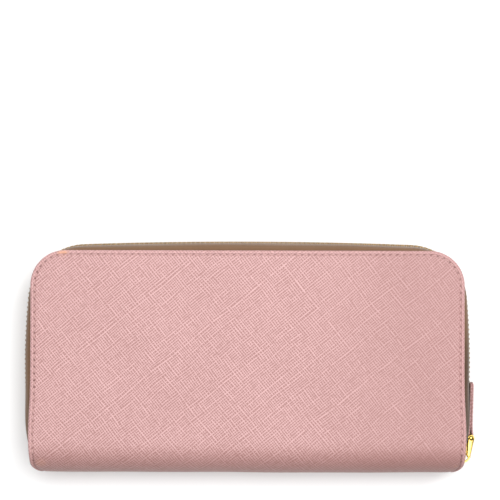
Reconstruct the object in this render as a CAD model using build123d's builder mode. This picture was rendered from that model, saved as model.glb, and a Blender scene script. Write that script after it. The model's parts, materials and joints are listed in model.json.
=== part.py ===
from build123d import *

# Zip-around long wallet in cross-grain leather, lying closed on its front cover.
#
# Frame: X along the spine, +Y from the spine to the free edge, +Z up through the wallet.
# The origin is the middle of the front cover's outer face, which rests on z = 0.
# The back cover and the zip half sewn to it are mirror images of the front ones about the middle plane.
# Both halves turn about the outermost line of the rolled spine, where the leather keeps its length.

import os
from math import asin, atan2, cos, degrees, radians, sin, sqrt

os.makedirs("parts", exist_ok=True)

# ---------------------------------------------------------------- driving dimensions, in millimetres
cover_length = 192.0  # leather cover along X
cover_depth = 99.0  # leather cover along Y, rolled spine included
thickness = 25.0  # closed wallet along Z
cover_corner = 15.5  # free corners of a cover, seen from above
spine_corner = 6.0  # corners at the two ends of the rolled spine

leather_t = 1.1
board_t = 0.8
padding_t = 0.5
lining_t = 0.5
lining_inset = 1.0  # lining edge inside the leather edge
edge_round = 0.8  # turned leather edge
trim_overrun = 2.5  # outlines run past the spine before they are trimmed
spine_seam_gap = 0.2  # between the two halves of the spine layers

seam_inset = 2.0  # stitch line inside the leather edge
seam_groove_w = 0.5
seam_groove_depth = 0.3
stitch_pitch = 3.0
stitch_length = 2.3
stitch_w = 0.36
stitch_h = 0.25

side_bulge = 2.5  # zip centreline outside the cover's side edges, at its widest
top_bulge = 3.0  # zip centreline outside the cover's free edge, at its widest
zip_side_radius = 300.0  # the zip's gentle bow along each side
zip_top_radius = 2000.0  # and along the free edge
zip_corner_radius = 25.0

tape_t = 0.5
tape_flange_w = 6.0  # part of the tape sewn between leather and lining
tape_exit_inset = 0.3  # where the tape leaves the cover's edge
tape_upright = 4.5  # tape standing square to the covers, below the middle plane
tape_end_margin = 3.5  # tape end inside the spine's outermost line

tooth_pitch = 2.1  # on one tape; the two sides interlock
tooth_t = 0.98  # along the zip
tooth_w = 2.0  # across the tape
tooth_leg = 3.1  # legs reach this far from the middle plane
tooth_nose = 0.8  # heads cross the middle plane by this much
tooth_slot_clearance = 0.05
tape_edge = 1.5  # tape edge below the middle plane, gripped in the teeth
stop_length = 1.5
stop_gap = 0.3  # along the zip, between a stop and the last tooth
throat_stop_w = 0.8  # slim enough to leave by the slot between the slider's lips
throat_stop_edge = 1.15  # stop beside the slider's diamond, from the middle plane
end_stop_edge = 0.05  # stop at the far end, where the two halves meet

slider_length = 10.0
slider_plate_t = 0.9
slider_lip_t = 0.8
slider_flare = 0.3  # extra width of the closing end, each side
slider_clearance = 0.15
slider_slot = 1.3  # gap between the lips, where the tape and its throat stop pass
slider_roll_clearance = 0.3  # closing end of the slider inside the lined spine roll
slider_corner = 0.8
diamond_length = 3.2
diamond_half_w = 0.9
bail_w = 2.2
bail_front = 4.9  # front foot ahead of the slider's centre
bail_rear = 1.7  # rear foot behind the slider's centre
bail_height = 2.5
bail_bar_at = 1.1  # bar ahead of the slider's centre
bail_bar_clearance = 0.25  # round the bar in the window
bail_bar_gap = 0.35  # bar above the slider's face

link_length = 7.9  # bail bar to pull pin
link_bar_r = 0.6
link_arm_t = 1.2
link_eye_r = 1.55
link_toe_r = 0.9
link_lean = 0.5  # degrees, outwards from the slider's face
pin_r = 0.6
pin_head_r = 0.85
pin_head_h = 0.25
pin_recess_r = 1.15
pin_recess_depth = 0.35
pin_clearance = 0.05

tab_width = 7.0
tab_length = 24.6  # pull pin to free end
tab_layer_t = 0.78
tab_taper = 4.0  # length over which the loop narrows to two flat layers
tab_end_corner = 2.2
tab_side_clearance = 0.65  # the arms also pass beside the slider's rear end
tab_lean = 1.5  # degrees, outwards from +Y
tab_seam_inset = 1.1
tab_stitch_pitch = 2.6
tab_stitch_length = 1.9

card_panel_inset = 10.0  # ends of the card panels inside the cover's side edges
card_panel_margin = 2.0  # panel edge above the spine's bend line
card_panel_corner = 3.0
card_backing_t = 0.4
card_backing_drop = 9.5  # top edge below the cover's free edge
card_tier_t = 0.5
card_tier_count = 3
card_tier_drop = 19.5  # top edge of the rearmost tier below the cover's free edge
card_tier_step = 12.0

gusset_t = 0.5
gusset_inset = 3.0  # outer folds inside the cover's side edges
gusset_reach = 13.5  # depth of the inward fold
gusset_fold_rise = 4.1  # inward fold above the lining
gusset_drop = 13.5  # top edge below the cover's free edge
gusset_margin = 3.0  # gusset edge above the spine's bend line
gusset_ridge_gap = 0.9  # left between front and back gussets for the pocket's seam flange

coin_inset = 14.0  # ends of the pocket inside the cover's side edges
coin_lift = 9.5  # bottom of the pocket above the spine's outermost line
coin_drop = 15.5  # top edge of the walls below the cover's free edge
coin_corner = 5.0
coin_wall_t = 0.7
coin_gap = 4.6  # inside the pocket, between the walls
coin_side_t = 0.5
coin_flange_t = 0.5
coin_flange_reach = 9.0
coin_flange_margin = 6.0  # flange end above the pocket's bottom
coin_tape_t = 0.35
coin_tape_flange = 6.0
coin_tape_clearance = 0.1
coin_zip_rise = 3.4  # zip line above the walls' top edges
coin_tape_edge = 0.7
coin_tooth_w = 1.4
coin_tooth_leg = 1.35
coin_tooth_nose = 0.4
coin_zip_margin = 5.0  # last teeth inside the pocket's end
coin_throat_stop_edge = 0.6
coin_slider_length = 7.0
coin_slider_plate_t = 0.7
coin_slider_lip_t = 0.35
coin_slider_clearance = 0.1
coin_slider_slot = 0.6
coin_slider_margin = 8.0  # slider centre inside the pocket's end
coin_slider_corner = 0.5
coin_diamond_length = 2.2
coin_diamond_half_w = 0.45
coin_bail_w = 1.2
coin_bail_front = 2.6
coin_bail_rear = 1.4
coin_bail_height = 1.6
coin_bail_bar_at = 0.6
coin_bail_bar_clearance = 0.2
coin_bail_bar_gap = 0.25
coin_bar_r = 0.35
coin_pull_length = 10.0  # bar to tip
coin_pull_w = 4.0
coin_pull_t = 0.8
coin_pull_arm_w = 0.8
coin_pull_tip_flat = 0.6  # across the pull's rounded tip
coin_pull_eye_r = 0.4
coin_pull_lean = 4.0  # degrees, outwards from the zip

# ---------------------------------------------------------------- values worked out from them
middle = thickness / 2
half_length = cover_length / 2
free_y = cover_depth / 2
spine_y = -cover_depth / 2
bend_y = spine_y + middle  # where the flat cover turns into the rolled spine
board_z = leather_t
padding_z = board_z + board_t
lining_z = padding_z + padding_t
inside_z = lining_z + lining_t
lining_roll_r = middle - inside_z  # inner radius of the lined spine roll
middle_plane = Plane.XY.offset(middle)

half_span = half_length + side_bulge
zip_top_y = free_y + top_bulge
tape_bend_z = middle - tape_upright
tape_top_z = middle - tape_edge
tape_end_y = spine_y + tape_end_margin
roll_clearance = 0.1
past_end = spine_y - trim_overrun

slider_half_h = tooth_leg + slider_clearance + slider_lip_t + slider_flare
slider_room = sqrt((lining_roll_r - slider_roll_clearance) ** 2 - slider_half_h**2)
slider_y = bend_y - slider_room + slider_length / 2
chain_end_ahead = slider_length / 2 - diamond_length - stop_gap  # last tooth, ahead of the slider's centre

card_panel_half = half_length - card_panel_inset
card_panel_bottom = bend_y + card_panel_margin
card_z = inside_z + card_backing_t

gusset_edge_half = half_length - gusset_inset
gusset_top = free_y - gusset_drop
gusset_bottom = bend_y + gusset_margin

coin_half_length = half_length - coin_inset
coin_bottom = spine_y + coin_lift
coin_top = free_y - coin_drop
coin_wall_z = middle - coin_gap / 2 - coin_wall_t
coin_inside_z = middle - coin_gap / 2
coin_zip_y = coin_top + coin_zip_rise
coin_slider_x = coin_half_length - coin_slider_margin


def zip_circles():
    """Centres of the zip's free-edge, side and corner arcs, and the outward angles (from +Y towards +X)
    where they meet. The corner arc touches both others from inside."""
    top = Vector(0, zip_top_y - zip_top_radius)
    side = Vector(half_span - zip_side_radius, 0)
    reach_top, reach_side = zip_top_radius - zip_corner_radius, zip_side_radius - zip_corner_radius
    between = side - top
    apart = between.length
    along = (reach_top**2 - reach_side**2 + apart**2) / (2 * apart)
    across = sqrt(reach_top**2 - along**2)
    unit = between.normalized()
    corner = top + unit * along + Vector(unit.Y, -unit.X) * across
    turn_top = atan2(corner.X - top.X, corner.Y - top.Y)
    turn_side = atan2(corner.X - side.X, corner.Y - side.Y)
    return top, side, corner, turn_top, turn_side


top_centre, side_centre, corner_centre, turn_top, turn_side = zip_circles()


def on_arc(centre, radius, turn):
    """Point of an arc whose outward direction is turned by this angle from +Y towards +X."""
    return Vector(centre.X + radius * sin(turn), centre.Y + radius * cos(turn))


def side_turn(y):
    """Outward angle of the side arc at height y."""
    return radians(90) - asin(y / zip_side_radius)


def mirror_x(point):
    return Vector(-point.X, point.Y)


def zip_arcs(inset, end_y):
    """Draws the zip's five arcs, moved inwards by inset, from the right end round to the left end."""
    end = side_turn(end_y)
    right = [
        on_arc(side_centre, zip_side_radius - inset, end),
        on_arc(side_centre, zip_side_radius - inset, (end + turn_side) / 2),
        on_arc(side_centre, zip_side_radius - inset, turn_side),
        on_arc(corner_centre, zip_corner_radius - inset, (turn_side + turn_top) / 2),
        on_arc(top_centre, zip_top_radius - inset, turn_top),
    ]
    left = [mirror_x(p) for p in right]
    ThreePointArc(right[0], right[1], right[2])
    ThreePointArc(right[2], right[3], right[4])
    ThreePointArc(right[4], on_arc(top_centre, zip_top_radius - inset, 0), left[4])
    ThreePointArc(left[4], left[3], left[2])
    ThreePointArc(left[2], left[1], left[0])
    return right[0], left[0]


def zip_region(inset, end_y):
    """Face inside the zip's line, moved inwards by inset, closed by a straight line on the spine's side."""
    with BuildSketch() as region:
        with BuildLine():
            right, left = zip_arcs(inset, end_y)
            Line(left, right)
        make_face()
    return region.sketch


def cover_arcs(inset, end_y):
    """Draws a cover's outline, moved inwards by inset, from the right end round to the left end."""
    x, y, r = half_length - inset, free_y - inset, cover_corner - inset
    middle_of_arc = r * (1 - sin(radians(45)))
    Line((x, end_y), (x, y - r))
    ThreePointArc((x, y - r), (x - middle_of_arc, y - middle_of_arc), (x - r, y))
    Line((x - r, y), (r - x, y))
    ThreePointArc((r - x, y), (middle_of_arc - x, y - middle_of_arc), (-x, y - r))
    Line((-x, y - r), (-x, end_y))


def cover_region(inset, end_y=bend_y):
    """Face inside a cover's outline, moved inwards by inset, cut off square at end_y."""
    with BuildSketch() as region:
        with BuildLine():
            cover_arcs(inset, end_y)
            Line((inset - half_length, end_y), (half_length - inset, end_y))
        make_face()
    return region.sketch


def cover_plan(inset):
    """Face of a whole cover seen from above, with the rounded ends of the rolled spine."""
    with BuildSketch() as plan:
        add(cover_region(inset, spine_y))
        ends = plan.vertices().group_by(Axis.Y)[0]
        fillet(ends, spine_corner - inset / 2)
    return plan.sketch


def roll_profile(outer, inner, start_y):
    """Section of a layer between two depths, drawn with Y across and Z up: flat from start_y to the bend line,
    then a quarter roll up to the middle plane. A start_y at the bend line leaves only the roll."""
    r_out, r_in = middle - outer, middle - inner
    diagonal = cos(radians(45))
    with BuildSketch() as profile:
        with BuildLine():
            if start_y > bend_y:
                Polyline((bend_y, outer), (start_y, outer), (start_y, inner), (bend_y, inner))
            else:
                Line((bend_y, outer), (bend_y, inner))
            ThreePointArc(
                (bend_y, inner), (bend_y - r_in * diagonal, middle - r_in * diagonal), (bend_y - r_in, middle)
            )
            Line((bend_y - r_in, middle), (bend_y - r_out, middle))
            ThreePointArc(
                (bend_y - r_out, middle), (bend_y - r_out * diagonal, middle - r_out * diagonal), (bend_y, outer)
            )
        make_face()
    return profile.sketch


def rolled_layer(outer, inner, inset, start_y=free_y):
    """A layer of the front half: its section carried along X, trimmed to the cover's plan."""
    with BuildPart() as layer:
        with BuildSketch(Plane.YZ):
            add(roll_profile(outer, inner, start_y))
        extrude(amount=half_length, both=True)
        with BuildSketch():
            add(cover_plan(inset))
        extrude(amount=thickness, mode=Mode.INTERSECT)
        split(bisect_by=Plane.XY.offset(middle - spine_seam_gap / 2), keep=Keep.BOTTOM)
    return layer.part


def ring(outer_inset, inner_inset):
    """Three-sided band between two insets of the cover's outline."""
    with BuildSketch() as band:
        add(cover_region(outer_inset))
        add(cover_region(inner_inset, past_end), mode=Mode.SUBTRACT)
    return band.sketch


def place_on(line, distance, z):
    """Place at a distance along a plane line, turned to follow it."""
    point, along = line @ (distance / line.length), line % (distance / line.length)
    return Location((point.X, point.Y, z), (0, 0, degrees(atan2(along.Y, along.X))))


def places_along(line, pitch, z, margin, shift=0.0):
    """Evenly spaced places along a plane line, centred on its middle and then moved along by shift."""
    count = int((line.length - 2 * margin) / pitch)
    first = (line.length - count * pitch) / 2 + shift
    return [place_on(line, first + k * pitch, z) for k in range(count + 1)]


def copies(solid, places):
    """The same solid at each place, as one group of separate solids."""
    return Compound(children=[solid.moved(place) for place in places])


def zip_tooth(length, width, leg, nose, slot_w, slot_end):
    """A tooth or stop of the front tape: its legs straddle the tape and its nose crosses the middle plane by
    nose, or stops short of it where nose is negative. X runs along the zip and Z = 0 is the middle plane."""
    with BuildPart() as tooth:
        with Locations((0, 0, -leg)):
            Box(length, width, leg + nose, align=(Align.CENTER, Align.CENTER, Align.MIN))
            Box(length, slot_w, leg - slot_end, align=(Align.CENTER, Align.CENTER, Align.MIN), mode=Mode.SUBTRACT)
    return tooth.part


def slider_shell(length, chain_w, chain_leg, clearance, plate_t, lip_t, slot, flare, corner, wedge, wedge_half_w):
    """Zip slider about its own centre: X towards its closing end, Y outwards from the wallet, Z across the zip.
    Two plates with lips, joined by the wedge that parts the two rows of teeth."""
    inner_h, inner_w = chain_leg + clearance, chain_w / 2 + clearance
    outer_h, outer_w = inner_h + lip_t, inner_w + plate_t
    front, rear = length / 2, -length / 2
    with BuildPart() as shell:
        with BuildSketch(Plane.XZ):
            Polygon((rear, -outer_h), (front, -outer_h - flare), (front, outer_h + flare), (rear, outer_h))
            fillet(vertices(), corner)
        extrude(amount=outer_w, both=True)
        with BuildSketch(Plane.XZ):
            Polygon((rear, -inner_h), (front, -inner_h - flare), (front, inner_h + flare), (rear, inner_h))
        extrude(amount=inner_w, both=True, mode=Mode.SUBTRACT)
        Box(length, slot, 2 * (outer_h + flare), mode=Mode.SUBTRACT)
        with BuildSketch(Plane.XZ):
            Polygon((front - wedge, 0), (front, -wedge_half_w), (front, wedge_half_w))
        extrude(amount=inner_w, both=True)
    return shell.part


def slider_arch(face, front_foot, rear_foot, height, width, bar_at, bar_gap, bar_r, bar_clearance):
    """Arched bail on a slider's outer face, in the slider's own frame, with a window for the pull's bar."""
    window_r = bar_r + bar_clearance
    bar_y = face + bar_gap + bar_r
    with BuildPart() as arch:
        with BuildSketch():
            with BuildLine():
                ThreePointArc((-rear_foot, face), ((front_foot - rear_foot) / 2, face + height), (front_foot, face))
                Line((front_foot, face), (-rear_foot, face))
            make_face()
            with Locations((bar_at, bar_y)):
                Circle(window_r, mode=Mode.SUBTRACT)
                Rectangle(2 * window_r, bar_y - face, align=(Align.CENTER, Align.MAX), mode=Mode.SUBTRACT)
        extrude(amount=width / 2, both=True)
    return arch.part


def save(shape, name):
    """Labels a finished piece and writes it as one node."""
    shape.label = name
    export_step(shape, f"parts/{name}.step")


def save_pair(front, name):
    """Writes a piece of the front half, and its mirror image as the back half's."""
    save(front, f"{name}_front")
    save(mirror(front, about=middle_plane, mode=Mode.PRIVATE), f"{name}_back")


# ---------------------------------------------------------------- covers: leather, board, padding, lining
with BuildPart() as cover_leather:
    add(rolled_layer(0, leather_t, 0))
    with BuildSketch(Plane.XY.offset(board_z)):
        add(ring(0, leather_t))
    extrude(amount=board_t)  # turned edge that wraps the board
    with BuildSketch():
        add(ring(seam_inset - seam_groove_w / 2, seam_inset + seam_groove_w / 2))
    extrude(amount=seam_groove_depth, mode=Mode.SUBTRACT)  # stitches lie in this groove
    with BuildLine() as cover_edge:
        cover_arcs(0, bend_y)
    with BuildSketch(Plane.XZ.offset(-bend_y)):
        with Locations((half_length, 0)):
            Rectangle(2 * edge_round, 2 * edge_round)
        with Locations((half_length - edge_round, edge_round)):
            Circle(edge_round, mode=Mode.SUBTRACT)
    sweep(path=cover_edge.wire(), mode=Mode.SUBTRACT)
save_pair(cover_leather.part, "cover_leather")

with BuildPart() as stiffener_board:
    with BuildSketch(Plane.XY.offset(board_z)):
        add(cover_region(leather_t))
    extrude(amount=board_t)
save_pair(stiffener_board.part, "stiffener_board")

with BuildPart() as cover_padding:
    with BuildSketch(Plane.XY.offset(padding_z)):
        add(cover_region(tape_exit_inset + tape_flange_w))
    extrude(amount=padding_t)
save_pair(cover_padding.part, "cover_padding")

save_pair(rolled_layer(leather_t, lining_z, leather_t, bend_y), "spine_reinforcement")
save_pair(rolled_layer(lining_z, inside_z, lining_inset, free_y), "cover_lining")

# ---------------------------------------------------------------- stitching round each cover
with BuildLine() as seam_line:
    cover_arcs(seam_inset, bend_y)
with BuildPart() as stitch:
    Box(stitch_length, stitch_w, stitch_h, align=(Align.CENTER, Align.CENTER, Align.MIN))
stitch_places = places_along(seam_line.wire(), stitch_pitch, seam_groove_depth - stitch_h, stitch_length)
save_pair(copies(stitch.part, stitch_places), "edge_stitching")

# ---------------------------------------------------------------- main zip: tape, teeth, stops
with BuildPart() as zip_tape:
    for inset, mode in ((0, Mode.ADD), (tape_t, Mode.SUBTRACT)):
        with BuildSketch(Plane.XY.offset(lining_z)):
            add(cover_region(tape_exit_inset + inset, past_end))
        with BuildSketch(Plane.XY.offset(tape_bend_z)):
            add(zip_region(inset - tape_t / 2, past_end))
        loft(ruled=True, mode=mode)
        with BuildSketch(Plane.XY.offset(tape_bend_z)):
            add(zip_region(inset - tape_t / 2, past_end))
        extrude(amount=tape_top_z - tape_bend_z, mode=mode)
    with BuildSketch(Plane.XY.offset(padding_z)):
        add(ring(tape_exit_inset, tape_exit_inset + tape_flange_w))
    extrude(amount=padding_t)
    with BuildSketch(Plane.YZ):
        with Locations((bend_y, middle)):
            Circle(lining_roll_r - roll_clearance)
            Rectangle(2 * cover_depth, thickness, align=(Align.MIN, Align.CENTER))
        with Locations((tape_end_y, middle)):
            Rectangle(2 * cover_depth, thickness, align=(Align.MIN, Align.CENTER), mode=Mode.INTERSECT)
    extrude(amount=half_span + thickness, both=True, mode=Mode.INTERSECT)
save_pair(zip_tape.part, "zip_tape")

tooth_slot = tape_t + 2 * tooth_slot_clearance
tooth_slot_end = tape_edge - tooth_slot_clearance
teeth_end_y = slider_y - chain_end_ahead
with BuildLine() as teeth_line:
    zip_arcs(0, teeth_end_y)
teeth_wire = teeth_line.wire()
with BuildLine() as whole_line:
    zip_arcs(0, tape_end_y)
whole_wire = whole_line.wire()

front_tooth = zip_tooth(tooth_t, tooth_w, tooth_leg, tooth_nose, tooth_slot, tooth_slot_end)
back_tooth = mirror(front_tooth, about=Plane.XY)
stagger = tooth_pitch / 4
for tooth, shift, name in ((front_tooth, -stagger, "zip_teeth_front"), (back_tooth, stagger, "zip_teeth_back")):
    margin = tooth_t / 2 + stagger
    save(copies(tooth, places_along(teeth_wire, tooth_pitch, middle, margin, shift)), name)

stop_at = (whole_wire.length - teeth_wire.length) / 2 - stop_gap - stop_length / 2
throat_stop = zip_tooth(stop_length, throat_stop_w, tooth_leg, -throat_stop_edge, tooth_slot, tooth_slot_end)
end_stop = zip_tooth(stop_length, tooth_w, tooth_leg, -end_stop_edge, tooth_slot, tooth_slot_end)
zip_stops = Compound(
    children=[
        throat_stop.moved(place_on(whole_wire, stop_at, middle)),
        end_stop.moved(place_on(whole_wire, whole_wire.length - stop_at, middle)),
    ]
)
save_pair(zip_stops, "zip_stops")

# ---------------------------------------------------------------- main slider, its link, pin and leather tab
slider_angle = side_turn(slider_y)
slider_point = on_arc(side_centre, zip_side_radius, slider_angle)
slider_place = Location((slider_point.X, slider_point.Y, middle), (0, 0, -degrees(slider_angle)))
slider_face = tooth_w / 2 + slider_clearance + slider_plate_t

slider_body = slider_shell(
    slider_length, tooth_w, tooth_leg, slider_clearance, slider_plate_t, slider_lip_t, slider_slot,
    slider_flare, slider_corner, diamond_length, diamond_half_w,
)
save(slider_body.moved(slider_place), "slider_body")
slider_bail = slider_arch(
    slider_face, bail_front, bail_rear, bail_height, bail_w, bail_bar_at, bail_bar_gap, link_bar_r,
    bail_bar_clearance,
)
save(slider_bail.moved(slider_place), "slider_bail")

link_bar_y = slider_face + bail_bar_gap + link_bar_r
link_place = slider_place * Location((bail_bar_at, link_bar_y, 0), (0, 0, 180 - link_lean))
arm_inner_z = tab_width / 2 + tab_side_clearance
arm_outer_z = arm_inner_z + link_arm_t
with BuildPart() as pull_link:
    with BuildSketch(Plane.XY.offset(arm_inner_z)):
        Circle(link_toe_r)
        with Locations((link_length, 0)):
            Circle(link_eye_r)
        make_hull()
        with Locations((link_length, 0)):
            Circle(pin_r, mode=Mode.SUBTRACT)
    extrude(amount=link_arm_t)
    with BuildSketch(Plane.XY.offset(arm_outer_z)):
        with Locations((link_length, 0)):
            Circle(pin_recess_r)
    extrude(amount=-pin_recess_depth, mode=Mode.SUBTRACT)
    mirror(about=Plane.XY)
    Cylinder(link_bar_r, 2 * arm_outer_z)
save(pull_link.part.moved(link_place), "pull_link")

pin_place = link_place * Location((link_length, 0, 0))
with BuildPart() as pull_pin:
    Cylinder(pin_r, 2 * (arm_outer_z - pin_recess_depth))
    with Locations((0, 0, arm_outer_z - pin_recess_depth)):
        Cylinder(pin_head_r, pin_head_h, align=(Align.CENTER, Align.CENTER, Align.MIN))
    mirror(about=Plane.XY)
save(pull_pin.part.moved(pin_place), "pull_pin")

tab_place = Location(pin_place.position, (0, 0, 90 - tab_lean))
with BuildPart() as pull_tab:
    with BuildSketch():
        Circle(pin_r + pin_clearance + tab_layer_t)
        with Locations((tab_taper, 0)):
            Rectangle(tab_layer_t, 2 * tab_layer_t, align=(Align.MIN, Align.CENTER))
        make_hull()
        with Locations((tab_taper, 0)):
            Rectangle(tab_length - tab_taper, 2 * tab_layer_t, align=(Align.MIN, Align.CENTER))
        Circle(pin_r + pin_clearance, mode=Mode.SUBTRACT)
    extrude(amount=tab_width / 2, both=True)
    fillet(pull_tab.edges().filter_by(Axis.Y).group_by(Axis.X)[-1], tab_end_corner)
save(pull_tab.part.moved(tab_place), "pull_tab")

with BuildPart() as tab_stitch:
    Box(tab_stitch_length, stitch_w, stitch_h)
tab_seam_start, tab_seam_end = tab_taper + tab_stitch_length, tab_length - tab_end_corner
tab_stitch_count = int((tab_seam_end - tab_seam_start) / tab_stitch_pitch)
tab_stitch_places = [
    Location((tab_seam_start + k * tab_stitch_pitch, side * (tab_layer_t + stitch_h / 2), edge), (90, 0, 0))
    for k in range(tab_stitch_count + 1)
    for side in (-1, 1)
    for edge in (tab_seam_inset - tab_width / 2, tab_width / 2 - tab_seam_inset)
]
save(copies(tab_stitch.part, [tab_place * place for place in tab_stitch_places]), "tab_stitching")

# ---------------------------------------------------------------- card panels inside each cover


def card_panel(top, z, t):
    """Full-width panel from just above the spine's bend to a given height, with rounded top corners."""
    with BuildPart() as panel:
        with BuildSketch(Plane.XY.offset(z)):
            with Locations((0, card_panel_bottom)):
                Rectangle(2 * card_panel_half, top - card_panel_bottom, align=(Align.CENTER, Align.MIN))
            fillet(vertices().group_by(Axis.Y)[-1], card_panel_corner)
        extrude(amount=t)
    return panel.part


save_pair(card_panel(free_y - card_backing_drop, inside_z, card_backing_t), "card_backing")
for tier in range(card_tier_count):
    top = free_y - card_tier_drop - tier * card_tier_step
    save_pair(card_panel(top, card_z + tier * card_tier_t, card_tier_t), f"card_tier_{tier + 1}")

# ---------------------------------------------------------------- accordion gussets at the two ends
ridge_z = middle - gusset_ridge_gap / 2 - gusset_t
fold_z = inside_z + gusset_fold_rise
fold_x = gusset_edge_half - gusset_reach
with BuildPart() as gusset_right:
    with BuildSketch(Plane.XZ.offset(-gusset_bottom)):
        with Locations((card_panel_half, inside_z)):
            Rectangle(gusset_edge_half - card_panel_half, gusset_t, align=(Align.MIN, Align.MIN))
        for edge_z in (inside_z, ridge_z):
            Polygon(
                (gusset_edge_half, edge_z), (gusset_edge_half, edge_z + gusset_t),
                (fold_x, fold_z + gusset_t), (fold_x, fold_z), align=None,
            )
    extrude(amount=gusset_bottom - gusset_top)
save_pair(gusset_right.part, "gusset_right")
save_pair(mirror(gusset_right.part, about=Plane.YZ), "gusset_left")

# ---------------------------------------------------------------- coin pocket between the two compartments
with BuildPart() as coin_wall:
    with BuildSketch(Plane.XY.offset(coin_wall_z)):
        with Locations((0, coin_bottom)):
            Rectangle(2 * coin_half_length, coin_top - coin_bottom, align=(Align.CENTER, Align.MIN))
        fillet(vertices().group_by(Axis.Y)[-1], coin_corner)
    extrude(amount=coin_wall_t)
save_pair(coin_wall.part, "coin_wall")

with BuildPart() as coin_side_strip:
    with BuildSketch(Plane.XY.offset(coin_inside_z)):
        with Locations((0, coin_bottom)):
            Rectangle(2 * coin_half_length, coin_top - coin_corner - coin_bottom, align=(Align.CENTER, Align.MIN))
        with Locations((0, coin_bottom + coin_side_t)):
            Rectangle(
                2 * (coin_half_length - coin_side_t), coin_top - coin_bottom, align=(Align.CENTER, Align.MIN),
                mode=Mode.SUBTRACT,
            )
    extrude(amount=coin_gap)
    with BuildSketch(Plane.XY.offset(middle - coin_flange_t / 2)):
        for x in (-coin_half_length - coin_flange_reach, coin_half_length):
            with Locations((x, coin_bottom + coin_flange_margin)):
                Rectangle(
                    coin_flange_reach, coin_top - coin_corner - coin_bottom - coin_flange_margin,
                    align=(Align.MIN, Align.MIN),
                )
    extrude(amount=coin_flange_t)
save(coin_side_strip.part, "coin_side_strip")

coin_tape_half = coin_half_length - coin_corner
coin_slider_place = Location((coin_slider_x, coin_zip_y, middle))
with BuildPart() as coin_zip_tape:
    with BuildSketch(Plane.YZ):
        with Locations((coin_zip_y + coin_tape_t / 2, coin_inside_z)):
            Rectangle(
                coin_tape_flange + coin_zip_rise + coin_tape_t / 2, coin_tape_t, align=(Align.MAX, Align.MIN)
            )
            Rectangle(coin_tape_t, coin_gap / 2 - coin_tape_edge, align=(Align.MAX, Align.MIN))
    extrude(amount=coin_tape_half, both=True)
save_pair(coin_zip_tape.part, "coin_zip_tape")

coin_slot = coin_tape_t + 2 * tooth_slot_clearance
coin_slot_end = coin_tape_edge - tooth_slot_clearance
coin_chain_right = coin_slider_x + coin_slider_length / 2 - coin_diamond_length - stop_gap
coin_chain_left = coin_zip_margin - coin_half_length
with BuildLine() as coin_teeth_line:
    Line((coin_chain_left, coin_zip_y), (coin_chain_right, coin_zip_y))
coin_tooth = zip_tooth(tooth_t, coin_tooth_w, coin_tooth_leg, coin_tooth_nose, coin_slot, coin_slot_end)
coin_teeth = []
for tooth, shift in ((coin_tooth, -stagger), (mirror(coin_tooth, about=Plane.XY), stagger)):
    margin = tooth_t / 2 + stagger
    coin_teeth += [tooth.moved(p) for p in places_along(coin_teeth_line.wire(), tooth_pitch, middle, margin, shift)]
save(Compound(children=coin_teeth), "coin_zip_teeth")

coin_stops = []
for x, edge in (
    (coin_chain_right + stop_gap + stop_length / 2, coin_throat_stop_edge),
    (coin_chain_left - stop_gap - stop_length / 2, end_stop_edge),
):
    stop = zip_tooth(stop_length, coin_tooth_w, coin_tooth_leg, -edge, coin_slot, coin_slot_end)
    at = Location((x, coin_zip_y, middle))
    coin_stops += [stop.moved(at), mirror(stop, about=Plane.XY).moved(at)]
save(Compound(children=coin_stops), "coin_zip_stops")

coin_slider = slider_shell(
    coin_slider_length, coin_tooth_w, coin_tooth_leg, coin_slider_clearance, coin_slider_plate_t,
    coin_slider_lip_t, coin_slider_slot, 0, coin_slider_corner, coin_diamond_length, coin_diamond_half_w,
)
save(coin_slider.moved(coin_slider_place), "coin_slider_body")
coin_slider_face = coin_tooth_w / 2 + coin_slider_clearance + coin_slider_plate_t
coin_bail = slider_arch(
    coin_slider_face, coin_bail_front, coin_bail_rear, coin_bail_height, coin_bail_w, coin_bail_bar_at,
    coin_bail_bar_gap, coin_bar_r, coin_bail_bar_clearance,
)
save(coin_bail.moved(coin_slider_place), "coin_slider_bail")

coin_bar_y = coin_slider_face + coin_bail_bar_gap + coin_bar_r
coin_arm_z = coin_pull_w / 2 - coin_pull_arm_w
coin_window = 2 * coin_bail_front
with BuildPart() as coin_pull:
    with BuildSketch(Plane.XZ):
        with Locations((-coin_pull_eye_r, 0)):
            Rectangle(coin_pull_length + coin_pull_eye_r, coin_pull_w, align=(Align.MIN, Align.CENTER))
        fillet(vertices().group_by(Axis.X)[-1], (coin_pull_w - coin_pull_tip_flat) / 2)
        with Locations((-coin_pull_eye_r, 0)):
            Rectangle(
                coin_window, 2 * coin_arm_z, align=(Align.MIN, Align.CENTER), mode=Mode.SUBTRACT
            )
    extrude(amount=coin_pull_t / 2, both=True)
    Cylinder(coin_bar_r, coin_pull_w)
coin_pull_place = coin_slider_place * Location((coin_bail_bar_at, coin_bar_y, 0), (0, 0, 180 - coin_pull_lean))
save(coin_pull.part.moved(coin_pull_place), "coin_pull")
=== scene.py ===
"""Looks of a zip-around long wallet in cross-grain leather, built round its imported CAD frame.

Lengths are in millimetres until a mesh is made, when they become metres. +X runs along the spine, +Y from the
spine to the free edge and +Z up through the closed wallet, which lies on its front cover.
"""

import json
from math import acos, atan2, cos, hypot, pi, radians, sin, sqrt, tau

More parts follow.
